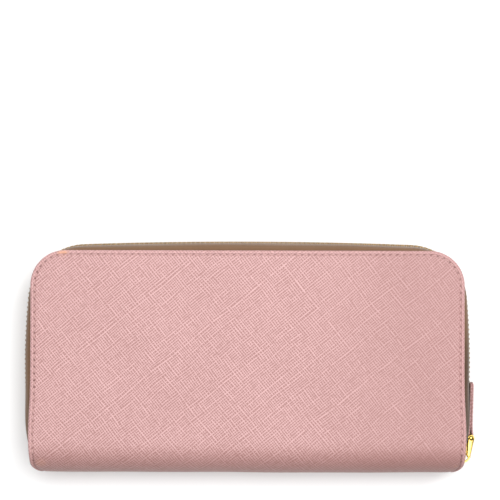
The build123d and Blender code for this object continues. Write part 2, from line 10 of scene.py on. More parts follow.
import bmesh
import bpy
import numpy as np
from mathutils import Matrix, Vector


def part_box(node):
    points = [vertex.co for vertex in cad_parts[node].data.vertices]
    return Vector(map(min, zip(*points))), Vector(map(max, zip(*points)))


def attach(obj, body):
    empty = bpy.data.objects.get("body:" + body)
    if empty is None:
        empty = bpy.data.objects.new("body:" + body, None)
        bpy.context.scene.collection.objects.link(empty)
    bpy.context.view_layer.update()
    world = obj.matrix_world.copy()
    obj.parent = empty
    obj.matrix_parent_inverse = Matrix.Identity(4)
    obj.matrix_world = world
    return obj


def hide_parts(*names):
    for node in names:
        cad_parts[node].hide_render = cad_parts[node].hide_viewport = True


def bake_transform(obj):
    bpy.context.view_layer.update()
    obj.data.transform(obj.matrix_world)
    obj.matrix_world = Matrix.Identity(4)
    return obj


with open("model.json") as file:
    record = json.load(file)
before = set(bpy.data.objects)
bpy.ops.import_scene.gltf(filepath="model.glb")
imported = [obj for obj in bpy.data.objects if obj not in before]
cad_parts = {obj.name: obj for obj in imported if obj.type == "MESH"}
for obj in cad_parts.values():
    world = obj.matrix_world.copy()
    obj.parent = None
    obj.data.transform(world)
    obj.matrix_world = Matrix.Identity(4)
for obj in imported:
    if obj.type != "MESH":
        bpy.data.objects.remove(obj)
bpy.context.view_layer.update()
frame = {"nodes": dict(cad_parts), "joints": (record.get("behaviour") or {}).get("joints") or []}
MM = 0.001

# ---------------------------------------------------------------- places read from the frame


def node_box(node):
    """Lowest and highest corners of a CAD node, in millimetres."""
    low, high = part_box(node)
    return np.array(low) / MM, np.array(high) / MM


joints = {joint["name"]: joint for joint in frame["joints"]}


def pivot(name):
    """A joint's pivot, in millimetres."""
    return np.array(joints[name]["pos_m"]) / MM


def node_middle(node):
    """Middle of a CAD node's box, in millimetres."""
    return sum(node_box(node)) / 2


HALF_LENGTH, FREE_Y = node_box("cover_leather_front")[1][:2]
teeth_high = node_box("zip_teeth_front")[1]
SPINE_Y, MIDDLE = pivot("cover_open")[1:]
BEND_Y = SPINE_Y + MIDDLE  # where the flat covers turn into the rolled spine

COVER_CORNER = 15.5  # seen from above: the free corners
SPINE_CORNER = 4.5  # and the ends of the rolled spine
SPINE_SWELL = 0.9  # the covers widen a little where they turn into the roll
LEATHER_T = 1.1
TURNED_T, TURNED_W = 1.9, 7.0  # leather edge turned over the board, and how far it reaches in
FOLD_R = TURNED_T / 2
RESTING = 0.01  # height of leather and thread pressed flat underneath
LINING_OUT, LINING_IN = 2.4, 2.9  # depths of the lining's two faces under the cover's outer face
SEAM_INSET, SEAM_REACH = 1.85, 0.36
STITCH_PITCH = 3.0

TOOTH_LENGTH, TOOTH_W, TOOTH_LEG, TOOTH_NOSE, TOOTH_PITCH = 0.98, 2.0, 3.1, 0.8, 2.1
ZIP_CORNER, ZIP_TOP_RADIUS = 25.0, 2000.0
ZIP_TOP_Y = teeth_high[1] - TOOTH_W / 2
SIDE_X = pivot("zip_travel")[0]
SIDE_RADIUS = teeth_high[0] - TOOTH_W / 2 - SIDE_X
TAPE_END_Y = node_box("zip_tape_front")[0][1]

# ---------------------------------------------------------------- meshes from arrays


def unit(vectors):
    """Vectors made one long, along the last axis."""
    return vectors / np.maximum(np.linalg.norm(vectors, axis=-1, keepdims=True), 1e-9)


def running(steps):
    """Running length at the ends of steps, from 0."""
    return np.concatenate([[0], np.cumsum(steps)])


def power(values, exponent):
    """Signed power: turns a circle's cosine and sine into those of a squarer or a more pointed ring."""
    return np.sign(values) * np.abs(values) ** exponent

def bell(distance, width):
    """Bell curve of a distance: 1 at 0, falling on both sides."""
    return np.exp(-((distance / width) ** 2))


def add_mesh(name, points, faces, material, uv=None, marks=None):
    """Closed mesh from points in millimetres, with its faces turned outwards. uv is the place on the flat piece,
    and marks are named values at the points."""
    mesh = bpy.data.meshes.new(name)
    mesh.from_pydata((np.asarray(points, float) * MM).tolist(), [], [list(map(int, f)) for f in faces])
    corner = np.empty(len(mesh.loops), int)
    mesh.loops.foreach_get("vertex_index", corner)
    if uv is not None:
        layer = mesh.uv_layers.new(name="flat")
        layer.data.foreach_set("uv", (np.asarray(uv, np.float32)[corner] * MM).ravel())
    for mark, values in (marks or {}).items():
        attribute = mesh.attributes.new(mark, "FLOAT", "POINT")
        attribute.data.foreach_set("value", np.asarray(values, np.float32).ravel())
    work = bmesh.new()
    work.from_mesh(mesh)
    bmesh.ops.recalc_face_normals(work, faces=work.faces)
    work.to_mesh(mesh)
    work.free()
    mesh.shade_smooth()
    mesh.set_sharp_from_angle(angle=radians(48))
    piece = bpy.data.objects.new(name, mesh)
    bpy.context.scene.collection.objects.link(piece)
    mesh.materials.append(material)
    return piece


def quads(index):
    """Four-sided faces of a grid of point numbers."""
    return np.stack([index[:-1, :-1], index[1:, :-1], index[1:, 1:], index[:-1, 1:]], -1).reshape(-1, 4)


def shell_arrays(outside, inside):
    """Points and faces of a closed thin piece: the outside grid, the inside grid and the strip round their edges."""
    rows, cols = outside.shape[:2]
    index = np.arange(rows * cols).reshape(rows, cols)
    far = index + rows * cols
    rim = np.concatenate([index[0], index[1:, -1], index[-1, -2::-1], index[-2:0:-1, 0]])
    after = np.roll(rim, -1)
    strip = np.stack([rim, after, after + rows * cols, rim + rows * cols], -1)
    faces = np.concatenate([quads(index), quads(far)[:, ::-1], strip])
    return np.concatenate([outside.reshape(-1, 3), inside.reshape(-1, 3)]), faces


def shell(name, outside, inside, material, uv=None, marks=None):
    """Closed thin piece between two grids of points of the same shape. uv is one grid, or one for each side."""
    points, faces = shell_arrays(outside, inside)
    if uv is not None:
        sides = uv if isinstance(uv, tuple) else (uv, uv)
        uv = np.concatenate([side.reshape(-1, 2) for side in sides])
    marks = {mark: np.tile(values.ravel(), 2) for mark, values in (marks or {}).items()}
    return add_mesh(name, points, faces, material, uv, marks)


def grid_normals(grid):
    """Unit normals of a grid of points, from the cross product of its two directions."""
    return unit(np.cross(np.gradient(grid, axis=0), np.gradient(grid, axis=1)))


def thickened(grid, half):
    """Outside and inside grids, half a thickness to each side of a middle grid. half may vary over the grid."""
    step = grid_normals(grid) * (half[..., None] if isinstance(half, np.ndarray) else half)
    return grid + step, grid - step


def grid_lengths(grid):
    """Running lengths of a grid along its rows and its columns, as flat coordinates for a weave."""
    down = np.linalg.norm(np.diff(grid, axis=0), axis=-1).mean(1)
    over = np.linalg.norm(np.diff(grid, axis=1), axis=-1).mean(0)
    return np.stack(np.meshgrid(running(over), running(down)), -1)


def joined(name, parts, material, **more):
    """One mesh from several sets of points and faces."""
    points, faces, start = [], [], 0
    for some_points, some_faces in parts:
        points.append(some_points)
        faces += [tuple(np.asarray(face) + start) for face in some_faces]
        start += len(some_points)
    return add_mesh(name, np.concatenate(points), faces, material, **more)


def stack(rings):
    """Points and faces of a closed solid whose cross-sections are the given rings, with a flat face at each end."""
    rings = np.asarray(rings, float)
    count, around = rings.shape[:2]
    index = np.arange(count * around).reshape(count, around)
    faces = quads(np.concatenate([index, index[:, :1]], 1)).tolist()
    return rings.reshape(-1, 3), faces + [index[0].tolist(), index[-1].tolist()]


def placed(part, origin, x_axis, z_axis=(0, 0, 1)):
    """A part moved from its own frame: X along x_axis, Z along z_axis, Y square to both."""
    x, z = unit(np.asarray(x_axis, float)), unit(np.asarray(z_axis, float))
    turn = np.stack([x, np.cross(z, x), z])
    return part[0] @ turn + np.asarray(origin, float), part[1]


def slab(outline, low, high, edge):
    """Plate with rounded edges: a closed outline, drawn anticlockwise, moved inwards by edge near both faces on
    a quarter circle. Z runs from low to high."""
    outline = np.asarray(outline, float)
    tangent = unit(np.roll(outline, -1, 0) - np.roll(outline, 1, 0))
    inward = np.stack([-tangent[:, 1], tangent[:, 0]], 1)
    turn = np.linspace(0, pi / 2, 5)
    insets = edge * (1 - np.sin(turn))
    lifts = edge * (1 - np.cos(turn))
    levels = [(low + lift, inset) for inset, lift in zip(insets, lifts)]
    levels += [(high - lift, inset) for inset, lift in zip(insets[::-1], lifts[::-1])]
    rings = [np.column_stack([outline + inward * inset, np.full(len(outline), z)]) for z, inset in levels]
    return stack(rings)


def tapered_outline(r_start, r_end, length, steps=14):
    """Outline round two circles, of r_start at the origin and r_end at length along X, joined by their tangents."""
    lean = acos((r_start - r_end) / length)
    far = np.linspace(-lean, lean, steps)
    near = np.linspace(lean, tau - lean, steps)
    end = np.stack([length + r_end * np.cos(far), r_end * np.sin(far)], 1)
    start = np.stack([r_start * np.cos(near), r_start * np.sin(near)], 1)
    return np.concatenate([end, start])


def finish_piece(piece, body, slot, *nodes):
    """The piece rides on a body and stands for the CAD nodes, which are hidden. slot is not used."""
    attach(piece, body)
    if nodes:
        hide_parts(*nodes)
    return piece


def bent_piece(piece, slot, *nodes):
    """The piece's placement is baked into its points and it stands for the CAD nodes, which are hidden. slot is not
    used.
    """
    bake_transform(piece)
    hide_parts(*nodes)
    return piece


def smoothed(path, rounds):
    """Path with its corners rounded: each point moves to the weighted mean of its neighbours, ends kept."""
    path = np.array(path, float)
    for _ in range(rounds):
        path[1:-1] = (path[:-2] + 2 * path[1:-1] + path[2:]) / 4
    return path


def even_path(corners, step):
    """Points at even steps along straight runs between corners."""
    corners = np.asarray(corners, float)
    run = running(np.linalg.norm(np.diff(corners, axis=0), axis=1))
    at = np.linspace(0, run[-1], int(run[-1] / step) + 1)
    return np.stack([np.interp(at, run, corners[:, k]) for k in range(corners.shape[1])], -1)

# ---------------------------------------------------------------- shader graphs


class Graph:
    """Short calls for adding and linking shader nodes in one tree."""

    def __init__(self, tree):
        self.tree = tree

    def node(self, kind, inputs=None, **settings):
        made = self.tree.nodes.new(kind)
        for key, value in settings.items():
            setattr(made, key, value)
        for key, value in (inputs or {}).items():
            if isinstance(value, bpy.types.NodeSocket):
                self.tree.links.new(value, made.inputs[key])
            elif value is not None:
                made.inputs[key].default_value = value
        return made

    def math(self, operation, a, b=None, c=None, clamp=False):
        inputs = {0: a, 1: b, 2: c}
        return self.node("ShaderNodeMath", inputs, operation=operation, use_clamp=clamp).outputs[0]

    def noise(self, vector, scale, detail=2.0, roughness=0.5):
        inputs = {"Vector": vector, "Scale": scale, "Detail": detail, "Roughness": roughness}
        return self.node("ShaderNodeTexNoise", inputs).outputs["Fac"]

    def between(self, value, low, high, out_low=0.0, out_high=1.0):
        """Soft step: out_low below low, out_high above high."""
        inputs = {"Value": value, "From Min": low, "From Max": high, "To Min": out_low, "To Max": out_high}
        return self.node("ShaderNodeMapRange", inputs, interpolation_type="SMOOTHSTEP").outputs["Result"]

    def mix(self, share, a, b):
        made = self.node("ShaderNodeMix", data_type="RGBA")
        for key, value in ((0, share), (6, a), (7, b)):
            if isinstance(value, bpy.types.NodeSocket):
                self.tree.links.new(value, made.inputs[key])
            else:
                made.inputs[key].default_value = value if key == 0 else (*value, 1.0)[:4]
        return made.outputs[2]

    def scaled(self, vector, scale):
        inputs = {0: vector, 1: scale if isinstance(scale, tuple) else (scale,) * 3}
        return self.node("ShaderNodeVectorMath", inputs, operation="MULTIPLY").outputs[0]

    def split(self, vector):
        return self.node("ShaderNodeSeparateXYZ", {0: vector}).outputs

    def merge(self, x, y, z=0.0):
        return self.node("ShaderNodeCombineXYZ", {0: x, 1: y, 2: z}).outputs[0]

    def flat(self):
        """The piece's own flat coordinates, in millimetres."""
        return self.scaled(self.node("ShaderNodeUVMap", uv_map="flat").outputs[0], 1 / MM)

    def place(self):
        """Object coordinates, in millimetres."""
        return self.scaled(self.node("ShaderNodeTexCoord").outputs["Object"], 1 / MM)

    def mark(self, name):
        return self.node("ShaderNodeAttribute", attribute_name=name).outputs["Fac"]

    def use(self, group, **inputs):
        made = self.node("ShaderNodeGroup")
        made.node_tree = group
        for key, value in inputs.items():
            socket = made.inputs[key.replace("_", " ")]
            if isinstance(value, bpy.types.NodeSocket):
                self.tree.links.new(value, socket)
            else:
                socket.default_value = value
        return made.outputs

    def bump(self, height, distance, strength=1.0, normal=None):
        inputs = {"Height": height, "Distance": distance * MM, "Strength": strength, "Normal": normal}
        return self.node("ShaderNodeBump", inputs).outputs[0]


def shader_group(name, inputs, outputs):
    """New node group with named sockets; returns its graph, its input sockets and its output node."""
    tree = bpy.data.node_groups.new(name, "ShaderNodeTree")
    for label, kind, value in inputs:
        socket = tree.interface.new_socket(label, in_out="INPUT", socket_type=kind)
        if value is not None:
            socket.default_value = value
    for label, kind in outputs:
        tree.interface.new_socket(label, in_out="OUTPUT", socket_type=kind)
    graph = Graph(tree)
    return graph, graph.node("NodeGroupInput").outputs, graph.node("NodeGroupOutput").inputs


def hatch_family(g, x, y, angle, period, wobble):
    """Rows of short straight ridges at an angle: a sharpened cosine across the rows, whose spacing wanders a
    little, broken along them by stretched noise."""
    across = g.math("MULTIPLY_ADD", x, -sin(angle) / period, g.math("MULTIPLY", y, cos(angle) / period))
    along = g.math("MULTIPLY_ADD", x, cos(angle) / period, g.math("MULTIPLY", y, sin(angle) / period))
    uneven = g.noise(g.merge(g.math("MULTIPLY", across, 0.31), angle), 1.0, 1.0)
    across = g.math("ADD", g.math("MULTIPLY_ADD", uneven, 1.5, across), wobble)
    ridge = g.math("COSINE", g.math("MULTIPLY", across, tau))
    row = g.math("ROUND", across)
    breaks = g.noise(g.merge(g.math("MULTIPLY", row, 0.73), g.math("MULTIPLY", along, 0.40)), 1.0, 1.0)
    strength = g.between(breaks, 0.34, 0.60, 0.60, 1.0)
    return g.math("MULTIPLY", g.between(ridge, -0.35, 0.95), strength)


def make_cross_grain():
    """Cross-grain embossing: two families of ridges; in patches one stands out over the other."""
    g, given, out = shader_group(
        "cross_grain",
        [("Vector", "NodeSocketVector", None)],
        [("Height", "NodeSocketFloat")],
    )
    x, y, _ = g.split(given["Vector"])
    wobble = g.math("MULTIPLY", g.math("SUBTRACT", g.noise(given["Vector"], 0.045, 1.0), 0.5), 1.6)
    patch = g.between(g.noise(given["Vector"], 0.16, 3.0, 0.6), 0.42, 0.58)
    rising = hatch_family(g, x, y, GRAIN_ANGLES[0], GRAIN_PERIOD, wobble)
    falling = hatch_family(g, x, y, GRAIN_ANGLES[1], GRAIN_PERIOD, wobble)
    first = g.math("MULTIPLY", rising, g.between(patch, 0.0, 1.0, 0.68, 1.0))
    second = g.math("MULTIPLY", falling, g.between(patch, 0.0, 1.0, 1.0, 0.62))
    top = g.node("ShaderNodeMath", {0: first, 1: second, 2: 0.12}, operation="SMOOTH_MAX").outputs[0]
    g.tree.links.new(top, out["Height"])
    return g.tree


GRAIN_ANGLES = (radians(39.0), radians(128.5))
GRAIN_PERIOD = 1.08


def make_pores():
    """Fine irregular grain: two sizes of noise and small creases between cells."""
    g, given, out = shader_group(
        "fine_grain",
        [("Vector", "NodeSocketVector", None), ("Scale", "NodeSocketFloat", 1.0)],
        [("Height", "NodeSocketFloat")],
    )
    sizes = {0: given["Vector"], 3: given["Scale"]}
    vector = g.node("ShaderNodeVectorMath", sizes, operation="SCALE").outputs[0]
    cells = g.node("ShaderNodeTexVoronoi", {"Vector": vector, "Scale": 2.2}, feature="DISTANCE_TO_EDGE")
    creases = g.between(cells.outputs[0], 0.0, 0.18)
    fine = g.noise(vector, 7.0, 3.0)
    g.tree.links.new(g.math("MULTIPLY_ADD", fine, 0.4, g.math("MULTIPLY", creases, 0.6)), out["Height"])
    return g.tree


def make_rub():
    """Worn spot: full at a place, fading with distance, broken by noise. Place and Reach are in millimetres."""
    g, given, out = shader_group(
        "worn_spot",
        [("Vector", "NodeSocketVector", None), ("Place", "NodeSocketVector", None),
         ("Reach", "NodeSocketFloat", 1.0)],
        [("Mask", "NodeSocketFloat")],
    )
    ends = {0: given["Vector"], 1: given["Place"]}
    apart = g.node("ShaderNodeVectorMath", ends, operation="DISTANCE").outputs[1]
    share = g.math("DIVIDE", apart, given["Reach"])
    ragged = g.math("MULTIPLY_ADD", g.noise(given["Vector"], 1.4, 3.0), 0.9, share)
    g.tree.links.new(g.between(ragged, 0.85, 1.45, 1.0, 0.0), out["Mask"])
    return g.tree


def make_weave():
    """Ribbed weave from flat coordinates: warp and weft threads as sines, every other warp thread on top. Fibre
    adds fine streaks along the threads."""
    g, given, out = shader_group(
        "weave",
        [("Vector", "NodeSocketVector", None), ("Pitch", "NodeSocketFloat", 0.4)],
        [("Height", "NodeSocketFloat")],
    )
    x, y, _ = g.split(given["Vector"])
    u, v = g.math("DIVIDE", x, given["Pitch"]), g.math("DIVIDE", y, given["Pitch"])
    warp = g.math("ABSOLUTE", g.math("SINE", g.math("MULTIPLY", u, pi)))
    weft = g.math("ABSOLUTE", g.math("SINE", g.math("MULTIPLY", v, pi)))
    over = g.math("PINGPONG", g.math("FLOOR", u), 1.0)
    under = g.math("SUBTRACT", 1.0, over)
    high = g.math("ADD", g.math("MULTIPLY", over, warp), g.math("MULTIPLY", under, weft))
    fibre = g.noise(g.merge(u, g.math("MULTIPLY", v, 3.0)), 1.6, 2.0)
    g.tree.links.new(g.math("MULTIPLY_ADD", fibre, 0.35, g.math("MULTIPLY", high, 0.8)), out["Height"])
    return g.tree


CROSS_GRAIN, FINE_GRAIN, WORN_SPOT, WEAVE = make_cross_grain(), make_pores(), make_rub(), make_weave()


def material(name, roughness, metallic=0.0, specular=0.5, sheen=0.0):
    """New material; returns it with its graph and its Principled shader's inputs."""
    made = bpy.data.materials.new(name)
    made.use_nodes = True
    shader = made.node_tree.nodes["Principled BSDF"].inputs
    for key, value in (("Roughness", roughness), ("Metallic", metallic), ("Specular IOR Level", specular),
                       ("Sheen Weight", sheen)):
        shader[key].default_value = value
    return made, Graph(made.node_tree), shader


def set_shader(g, shader, **sockets):
    """Link values to the shader's sockets; an underline in a name stands for a space."""
    for key, value in sockets.items():
        g.tree.links.new(value, shader[key.replace("_", " ")])


# the first colour is browner wear along the spine mixed with painted shade for where it rolls under
SPINE_BROWN_AND_SHADE, WORN_TAN = (0.21, 0.085, 0.06), (0.72, 0.36, 0.20)
# first: painted shade for the needle holes; second: dark specks
HOLE_SHADE, SPECK_DARK = (0.10, 0.04, 0.03), (0.12, 0.07, 0.06)
RUBBED = (((-81.5, 48.4, 24.6), 3.0), ((-91.3, -44.4, 22.0), 3.2), ((92.5, -45.6, 20.8), 1.6))  # place and reach
SPECK = (-50.4, -25.9, 25.0)


def grained_leather(name, light, dark):
    """Cross-grain leather: ridges lighter than the furrows, uneven dye, painted shade in the seam furrow and its
    needle holes, a painted highlight along the raised edge, darker towards the right end, browner along the spine
    with painted shade where it rolls under, tan where it is rubbed."""
    made, g, shader = material(name, 0.44, specular=0.4, sheen=0.04)
    flat, place = g.flat(), g.place()
    grain = g.use(CROSS_GRAIN, Vector=flat)
    pores = g.use(FINE_GRAIN, Vector=flat, Scale=1.0)["Height"]
    dye = g.noise(flat, 0.035, 3.0)
    raised = g.between(grain["Height"], 0.08, 0.85)
    tone = g.math("MULTIPLY_ADD", g.math("SUBTRACT", dye, 0.5), 0.35, raised, clamp=True)
    colour = g.mix(tone, dark, light)
    # darker towards the right end
    darker_to_right = g.between(g.split(place)[0], 10.0, 85.0, 0.0, 0.42)
    from_spine = g.math("ABSOLUTE", g.split(flat)[1])
    near_spine = g.between(from_spine, 2.0, 9.0, 0.14, 0.0)
    # browner along the spine, with painted shade where the roll curves under
    spine_brown_and_shade = g.math("ADD", g.between(from_spine, 3.0, 25.0, 0.54, 0.0), near_spine)
    colour = g.mix(darker_to_right, colour, dark)
    colour = g.mix(g.math("MULTIPLY", spine_brown_and_shade, g.mark("outer")), colour, SPINE_BROWN_AND_SHADE)
    # painted shade in the seam furrow
    colour = g.mix(g.math("MULTIPLY", g.mark("seam"), 0.55), colour, tuple(0.55 * c for c in dark))
    # painted highlight along the raised, rounded edge
    colour = g.mix(g.math("MULTIPLY", g.mark("ridge"), 0.28), colour, tuple(1.08 * c for c in light))
    # painted shade in the needle holes along the seam
    stitch_turn = g.math("MULTIPLY", g.mark("run"), tau / STITCH_PITCH)
    at_hole = g.between(g.math("COSINE", stitch_turn), 0.62, 0.95)
    open_hole = g.between(g.noise(place, 0.06, 2.0), 0.40, 0.62, 0.10, 0.75)
    at_side = g.between(g.math("ABSOLUTE", g.split(place)[0]), 72.0, 92.0, 0.2, 1.15)
    open_hole = g.math("MULTIPLY", open_hole, at_side, clamp=True)
    hole = g.math("MULTIPLY", g.math("MULTIPLY", at_hole, g.mark("seam")), open_hole)
    colour = g.mix(hole, colour, HOLE_SHADE)
    for spot, reach in RUBBED:
        worn = g.use(WORN_SPOT, Vector=place, Place=spot, Reach=reach)["Mask"]
        on_ridge = g.math("MULTIPLY_ADD", g.mark("ridge"), 0.62, 0.12)
        colour = g.mix(g.math("MULTIPLY", worn, on_ridge), colour, WORN_TAN)
    speck = g.use(WORN_SPOT, Vector=place, Place=SPECK, Reach=0.35)["Mask"]
    colour = g.mix(g.math("MULTIPLY", speck, 0.6), colour, SPECK_DARK)
    normal = g.bump(pores, 0.02, 0.5, g.bump(grain["Height"], 0.16, 0.55))
    rough = g.between(grain["Height"], 0.0, 1.0, 0.52, 0.40)
    set_shader(g, shader, Base_Color=colour, Roughness=rough, Normal=normal)
    return made


def smooth_leather(name, light, dark):
    """Smooth leather with fine pores and slightly uneven dye."""
    made, g, shader = material(name, 0.5, specular=0.4)
    flat = g.flat()
    pores = g.use(FINE_GRAIN, Vector=flat, Scale=1.6)["Height"]
    dye = g.noise(flat, 0.05, 4.0)
    colour = g.mix(g.math("MULTIPLY_ADD", pores, 0.4, g.math("MULTIPLY", dye, 0.6)), dark, light)
    # painted shade in the seam furrows
    colour = g.mix(g.math("MULTIPLY", g.mark("seam"), 0.5), colour, tuple(0.5 * c for c in dark))
    set_shader(g, shader, Base_Color=colour, Normal=g.bump(pores, 0.03, 0.6))
    return made


def woven_cloth(name, light, dark, pitch, depth, pull_shade=0.0):
    """Woven cloth: threads lighter on top, with slow unevenness in the dye. Beside the pull it takes painted shade,
    where the cover's edge and the tab shadow the tape.
    """
    made, g, shader = material(name, 0.8, specular=0.2, sheen=0.25)
    flat = g.flat()
    weave = g.use(WEAVE, Vector=flat, Pitch=pitch)
    uneven = g.noise(flat, 0.08, 3.0)
    tone = g.math("MULTIPLY_ADD", weave["Height"], 0.7, g.math("MULTIPLY", uneven, 0.3), clamp=True)
    colour = g.mix(tone, dark, light)
    # painted shade on the tape beside the pull, where the cover's edge and the tab shadow it
    if pull_shade:
        x, y, _ = g.split(g.place())
        below = g.between(y, -2.0, 22.0, 1.0, 0.0)
        beside = g.math("MULTIPLY", g.between(x, 84.0, 92.0, 0.0, pull_shade), below)
        colour = g.mix(beside, colour, tuple(0.4 * c for c in dark))
    set_shader(g, shader, Base_Color=colour, Normal=g.bump(weave["Height"], depth, 0.7))
    return made


def plated_metal(name, colour, tarnish, roughness):
    """Plated metal: fine polishing lines, faint tarnish in patches, and painted shade, near black, in a recess where
    it is marked.
    """
    made, g, shader = material(name, roughness, metallic=1.0)
    place = g.place()
    stains = g.between(g.noise(place, 0.9, 4.0, 0.6), 0.48, 0.72)
    lines = g.noise(g.scaled(place, (9.0, 9.0, 1.2)), 1.0, 3.0)
    plating = g.mix(g.math("MULTIPLY", stains, 0.4), colour, tarnish)
    # painted shade: a marked recess is coloured near black
    colour = g.mix(g.mark("recess_shade"), plating, tuple(0.12 * c for c in tarnish))
    rough = g.math("MULTIPLY_ADD", stains, 0.18, g.between(lines, 0.2, 0.8, roughness, roughness + 0.08))
    set_shader(g, shader, Base_Color=colour, Roughness=rough, Normal=g.bump(lines, 0.006, 0.35))
    return made


def sewing_thread(name, light, dark):
    """Twisted thread: slanting plies as a cosine on the flat coordinates, darker between them."""
    made, g, shader = material(name, 0.6, specular=0.3, sheen=0.2)
    x, y, _ = g.split(g.flat())
    slanted = g.math("MULTIPLY_ADD", x, tau / 0.45, g.math("MULTIPLY", y, 9.0))
    ply = g.between(g.math("COSINE", slanted), -1.0, 1.0)
    set_shader(g, shader, Base_Color=g.mix(ply, dark, light), Normal=g.bump(ply, 0.05, 0.8))
    return made


def plain_fibre(name, light, dark, scale):
    """Board or felt: matted fibres as stretched noise."""
    made, g, shader = material(name, 0.9, specular=0.15)
    fibres = g.noise(g.scaled(g.place(), scale), 1.0, 5.0, 0.7)
    set_shader(g, shader, Base_Color=g.mix(fibres, dark, light), Normal=g.bump(fibres, 0.05, 0.5))
    return made


leather = grained_leather("cross_grain_leather", (0.612, 0.367, 0.361), (0.352, 0.179, 0.168))
card_leather = smooth_leather("smooth_leather", (0.72, 0.44, 0.42), (0.60, 0.34, 0.32))
lining = woven_cloth("lining_cloth", (0.44, 0.31, 0.23), (0.27, 0.18, 0.13), 0.42, 0.06)
# the zip tape takes painted shade beside the pull
tape = woven_cloth("zip_tape_cloth", (0.212, 0.121, 0.066), (0.102, 0.056, 0.030), 0.55, 0.10, pull_shade=0.7)
zip_brass = plated_metal("zip_brass", (0.36, 0.25, 0.12), (0.13, 0.08, 0.04), 0.38)
gold = plated_metal("gold_plate", (0.88, 0.64, 0.17), (0.52, 0.31, 0.07), 0.17)
thread = sewing_thread("sewing_thread", (0.66, 0.42, 0.40), (0.44, 0.25, 0.23))
board = plain_fibre("fibre_board", (0.40, 0.34, 0.27), (0.25, 0.21, 0.16), (1.0, 6.0, 6.0))
felt = plain_fibre("felt_padding", (0.80, 0.77, 0.70), (0.60, 0.57, 0.50), (2.0, 2.0, 2.0))

# ---------------------------------------------------------------- covers: one sheet rolled round the spine

FLAT_START = MIDDLE * pi / 2  # from the spine's outermost line, along the sheet, to where a cover turns flat
SHEET_HALF = FLAT_START + FREE_Y - BEND_Y
BORDER_STEPS = np.array(
    [0, 0.05, 0.13, 0.25, 0.4, 0.6, 0.8, 1.0, 1.2, 1.4, 1.6, 1.75, 1.9, 2.05, 2.2, 2.4, 2.7, 3.1, 3.7, 4.5, 5.5,
     6.6, 7.8, 9.2, 10.8, 12.6, 14.2]
)


def sheet_side(s):
    """Half width of the sheet at s: straight, rounded at the free corners and drawn in a little at the spine,
    so that the roll's ends are rounded seen from above."""
    s = np.abs(s)
    past = np.clip(s - (SHEET_HALF - COVER_CORNER), 0, COVER_CORNER)
    corner = COVER_CORNER - np.sqrt(np.maximum(COVER_CORNER**2 - past**2, 0))
    rise = MIDDLE * (1 - np.cos(np.minimum(s, FLAT_START) / MIDDLE))  # above the outermost line
    soft = np.sqrt(rise**2 + 0.01)
    to_spine = np.clip(SPINE_CORNER - soft, 0, SPINE_CORNER)
    waist = SPINE_CORNER - np.sqrt(np.maximum(SPINE_CORNER**2 - to_spine**2, 0))
    return HALF_LENGTH - corner - waist + SPINE_SWELL * np.exp(-(((s - 24.0) / 14.0) ** 2))


def sheet_edge(x, s):
    """Distance from the sheet's edge: from the corner arc near a free corner, otherwise the nearer straight side."""
    over_x, over_s = np.abs(x) - (HALF_LENGTH - COVER_CORNER), np.abs(s) - (SHEET_HALF - COVER_CORNER)
    in_corner = COVER_CORNER - np.hypot(over_x, over_s)
    step = 0.05
    lean = (sheet_side(np.abs(s) + step) - sheet_side(np.abs(s) - step)) / (2 * step)
    to_side = (sheet_side(s) - np.abs(x)) / np.sqrt(1 + np.minimum(lean, 3) ** 2)
    straight = np.minimum(to_side, SHEET_HALF - np.abs(s))
    return np.maximum(np.where((over_x > 0) & (over_s > 0), in_corner, straight), 0)


def seam_run(x, s):
    """Distance along the seam from the middle of the free edge: straight, round the corner, then down the side."""
    r = COVER_CORNER - SEAM_INSET
    over_x, over_s = np.abs(x) - (HALF_LENGTH - COVER_CORNER), np.abs(s) - (SHEET_HALF - COVER_CORNER)
    start = HALF_LENGTH - COVER_CORNER
    turn = np.arctan2(np.maximum(over_x, 0), np.maximum(over_s, 1e-6))
    side = start + r * pi / 2 - over_s
    along_edge = np.abs(x)
    beside = np.where(over_x - over_s > 0, side, along_edge)
    return np.where(over_s <= 0, beside, np.where(over_x <= 0, along_edge, start + r * turn))


def bend(x, s, depth):
    """Sheet to wallet: round the spine the sheet follows a circle about the bend line at the middle plane, and past
    it each cover is flat. depth is under the outer face."""
    turn = np.clip(s / MIDDLE, -pi / 2, pi / 2)
    past = np.maximum(np.abs(s) - FLAT_START, 0)
    y = BEND_Y - (MIDDLE - depth) * np.cos(turn) + past
    z = MIDDLE + (MIDDLE - depth) * np.sin(turn)
    return np.stack(np.broadcast_arrays(x, y, z), -1)


def sheet_grid(inset, middle_step, corner_steps=BORDER_STEPS):
    """Grid over the sheet: rows run across it, closer together near its ends and corners; columns keep a steady
    distance from the sides and fill the middle evenly."""
    far = SHEET_HALF - inset
    ends = far - corner_steps
    flat_rows = np.linspace(FLAT_START, ends[-1], int((ends[-1] - FLAT_START) / middle_step) + 1)[:-1]
    roll_rows = np.linspace(0, FLAT_START, 15)[:-1]
    half = np.concatenate([roll_rows, flat_rows, ends[::-1]])
    s = np.concatenate([-half[:0:-1], half])
    side = sheet_side(s) - inset
    inner = corner_steps[-1]
    count = int(2 * (HALF_LENGTH - inner) / middle_step)
    share = np.linspace(-1, 1, count + 1)[1:-1]
    left = -side[:, None] + corner_steps
    x = np.concatenate([left, (side[:, None] - inner) * share, -left[:, ::-1]], 1)
    return x, np.broadcast_to(s[:, None], x.shape)


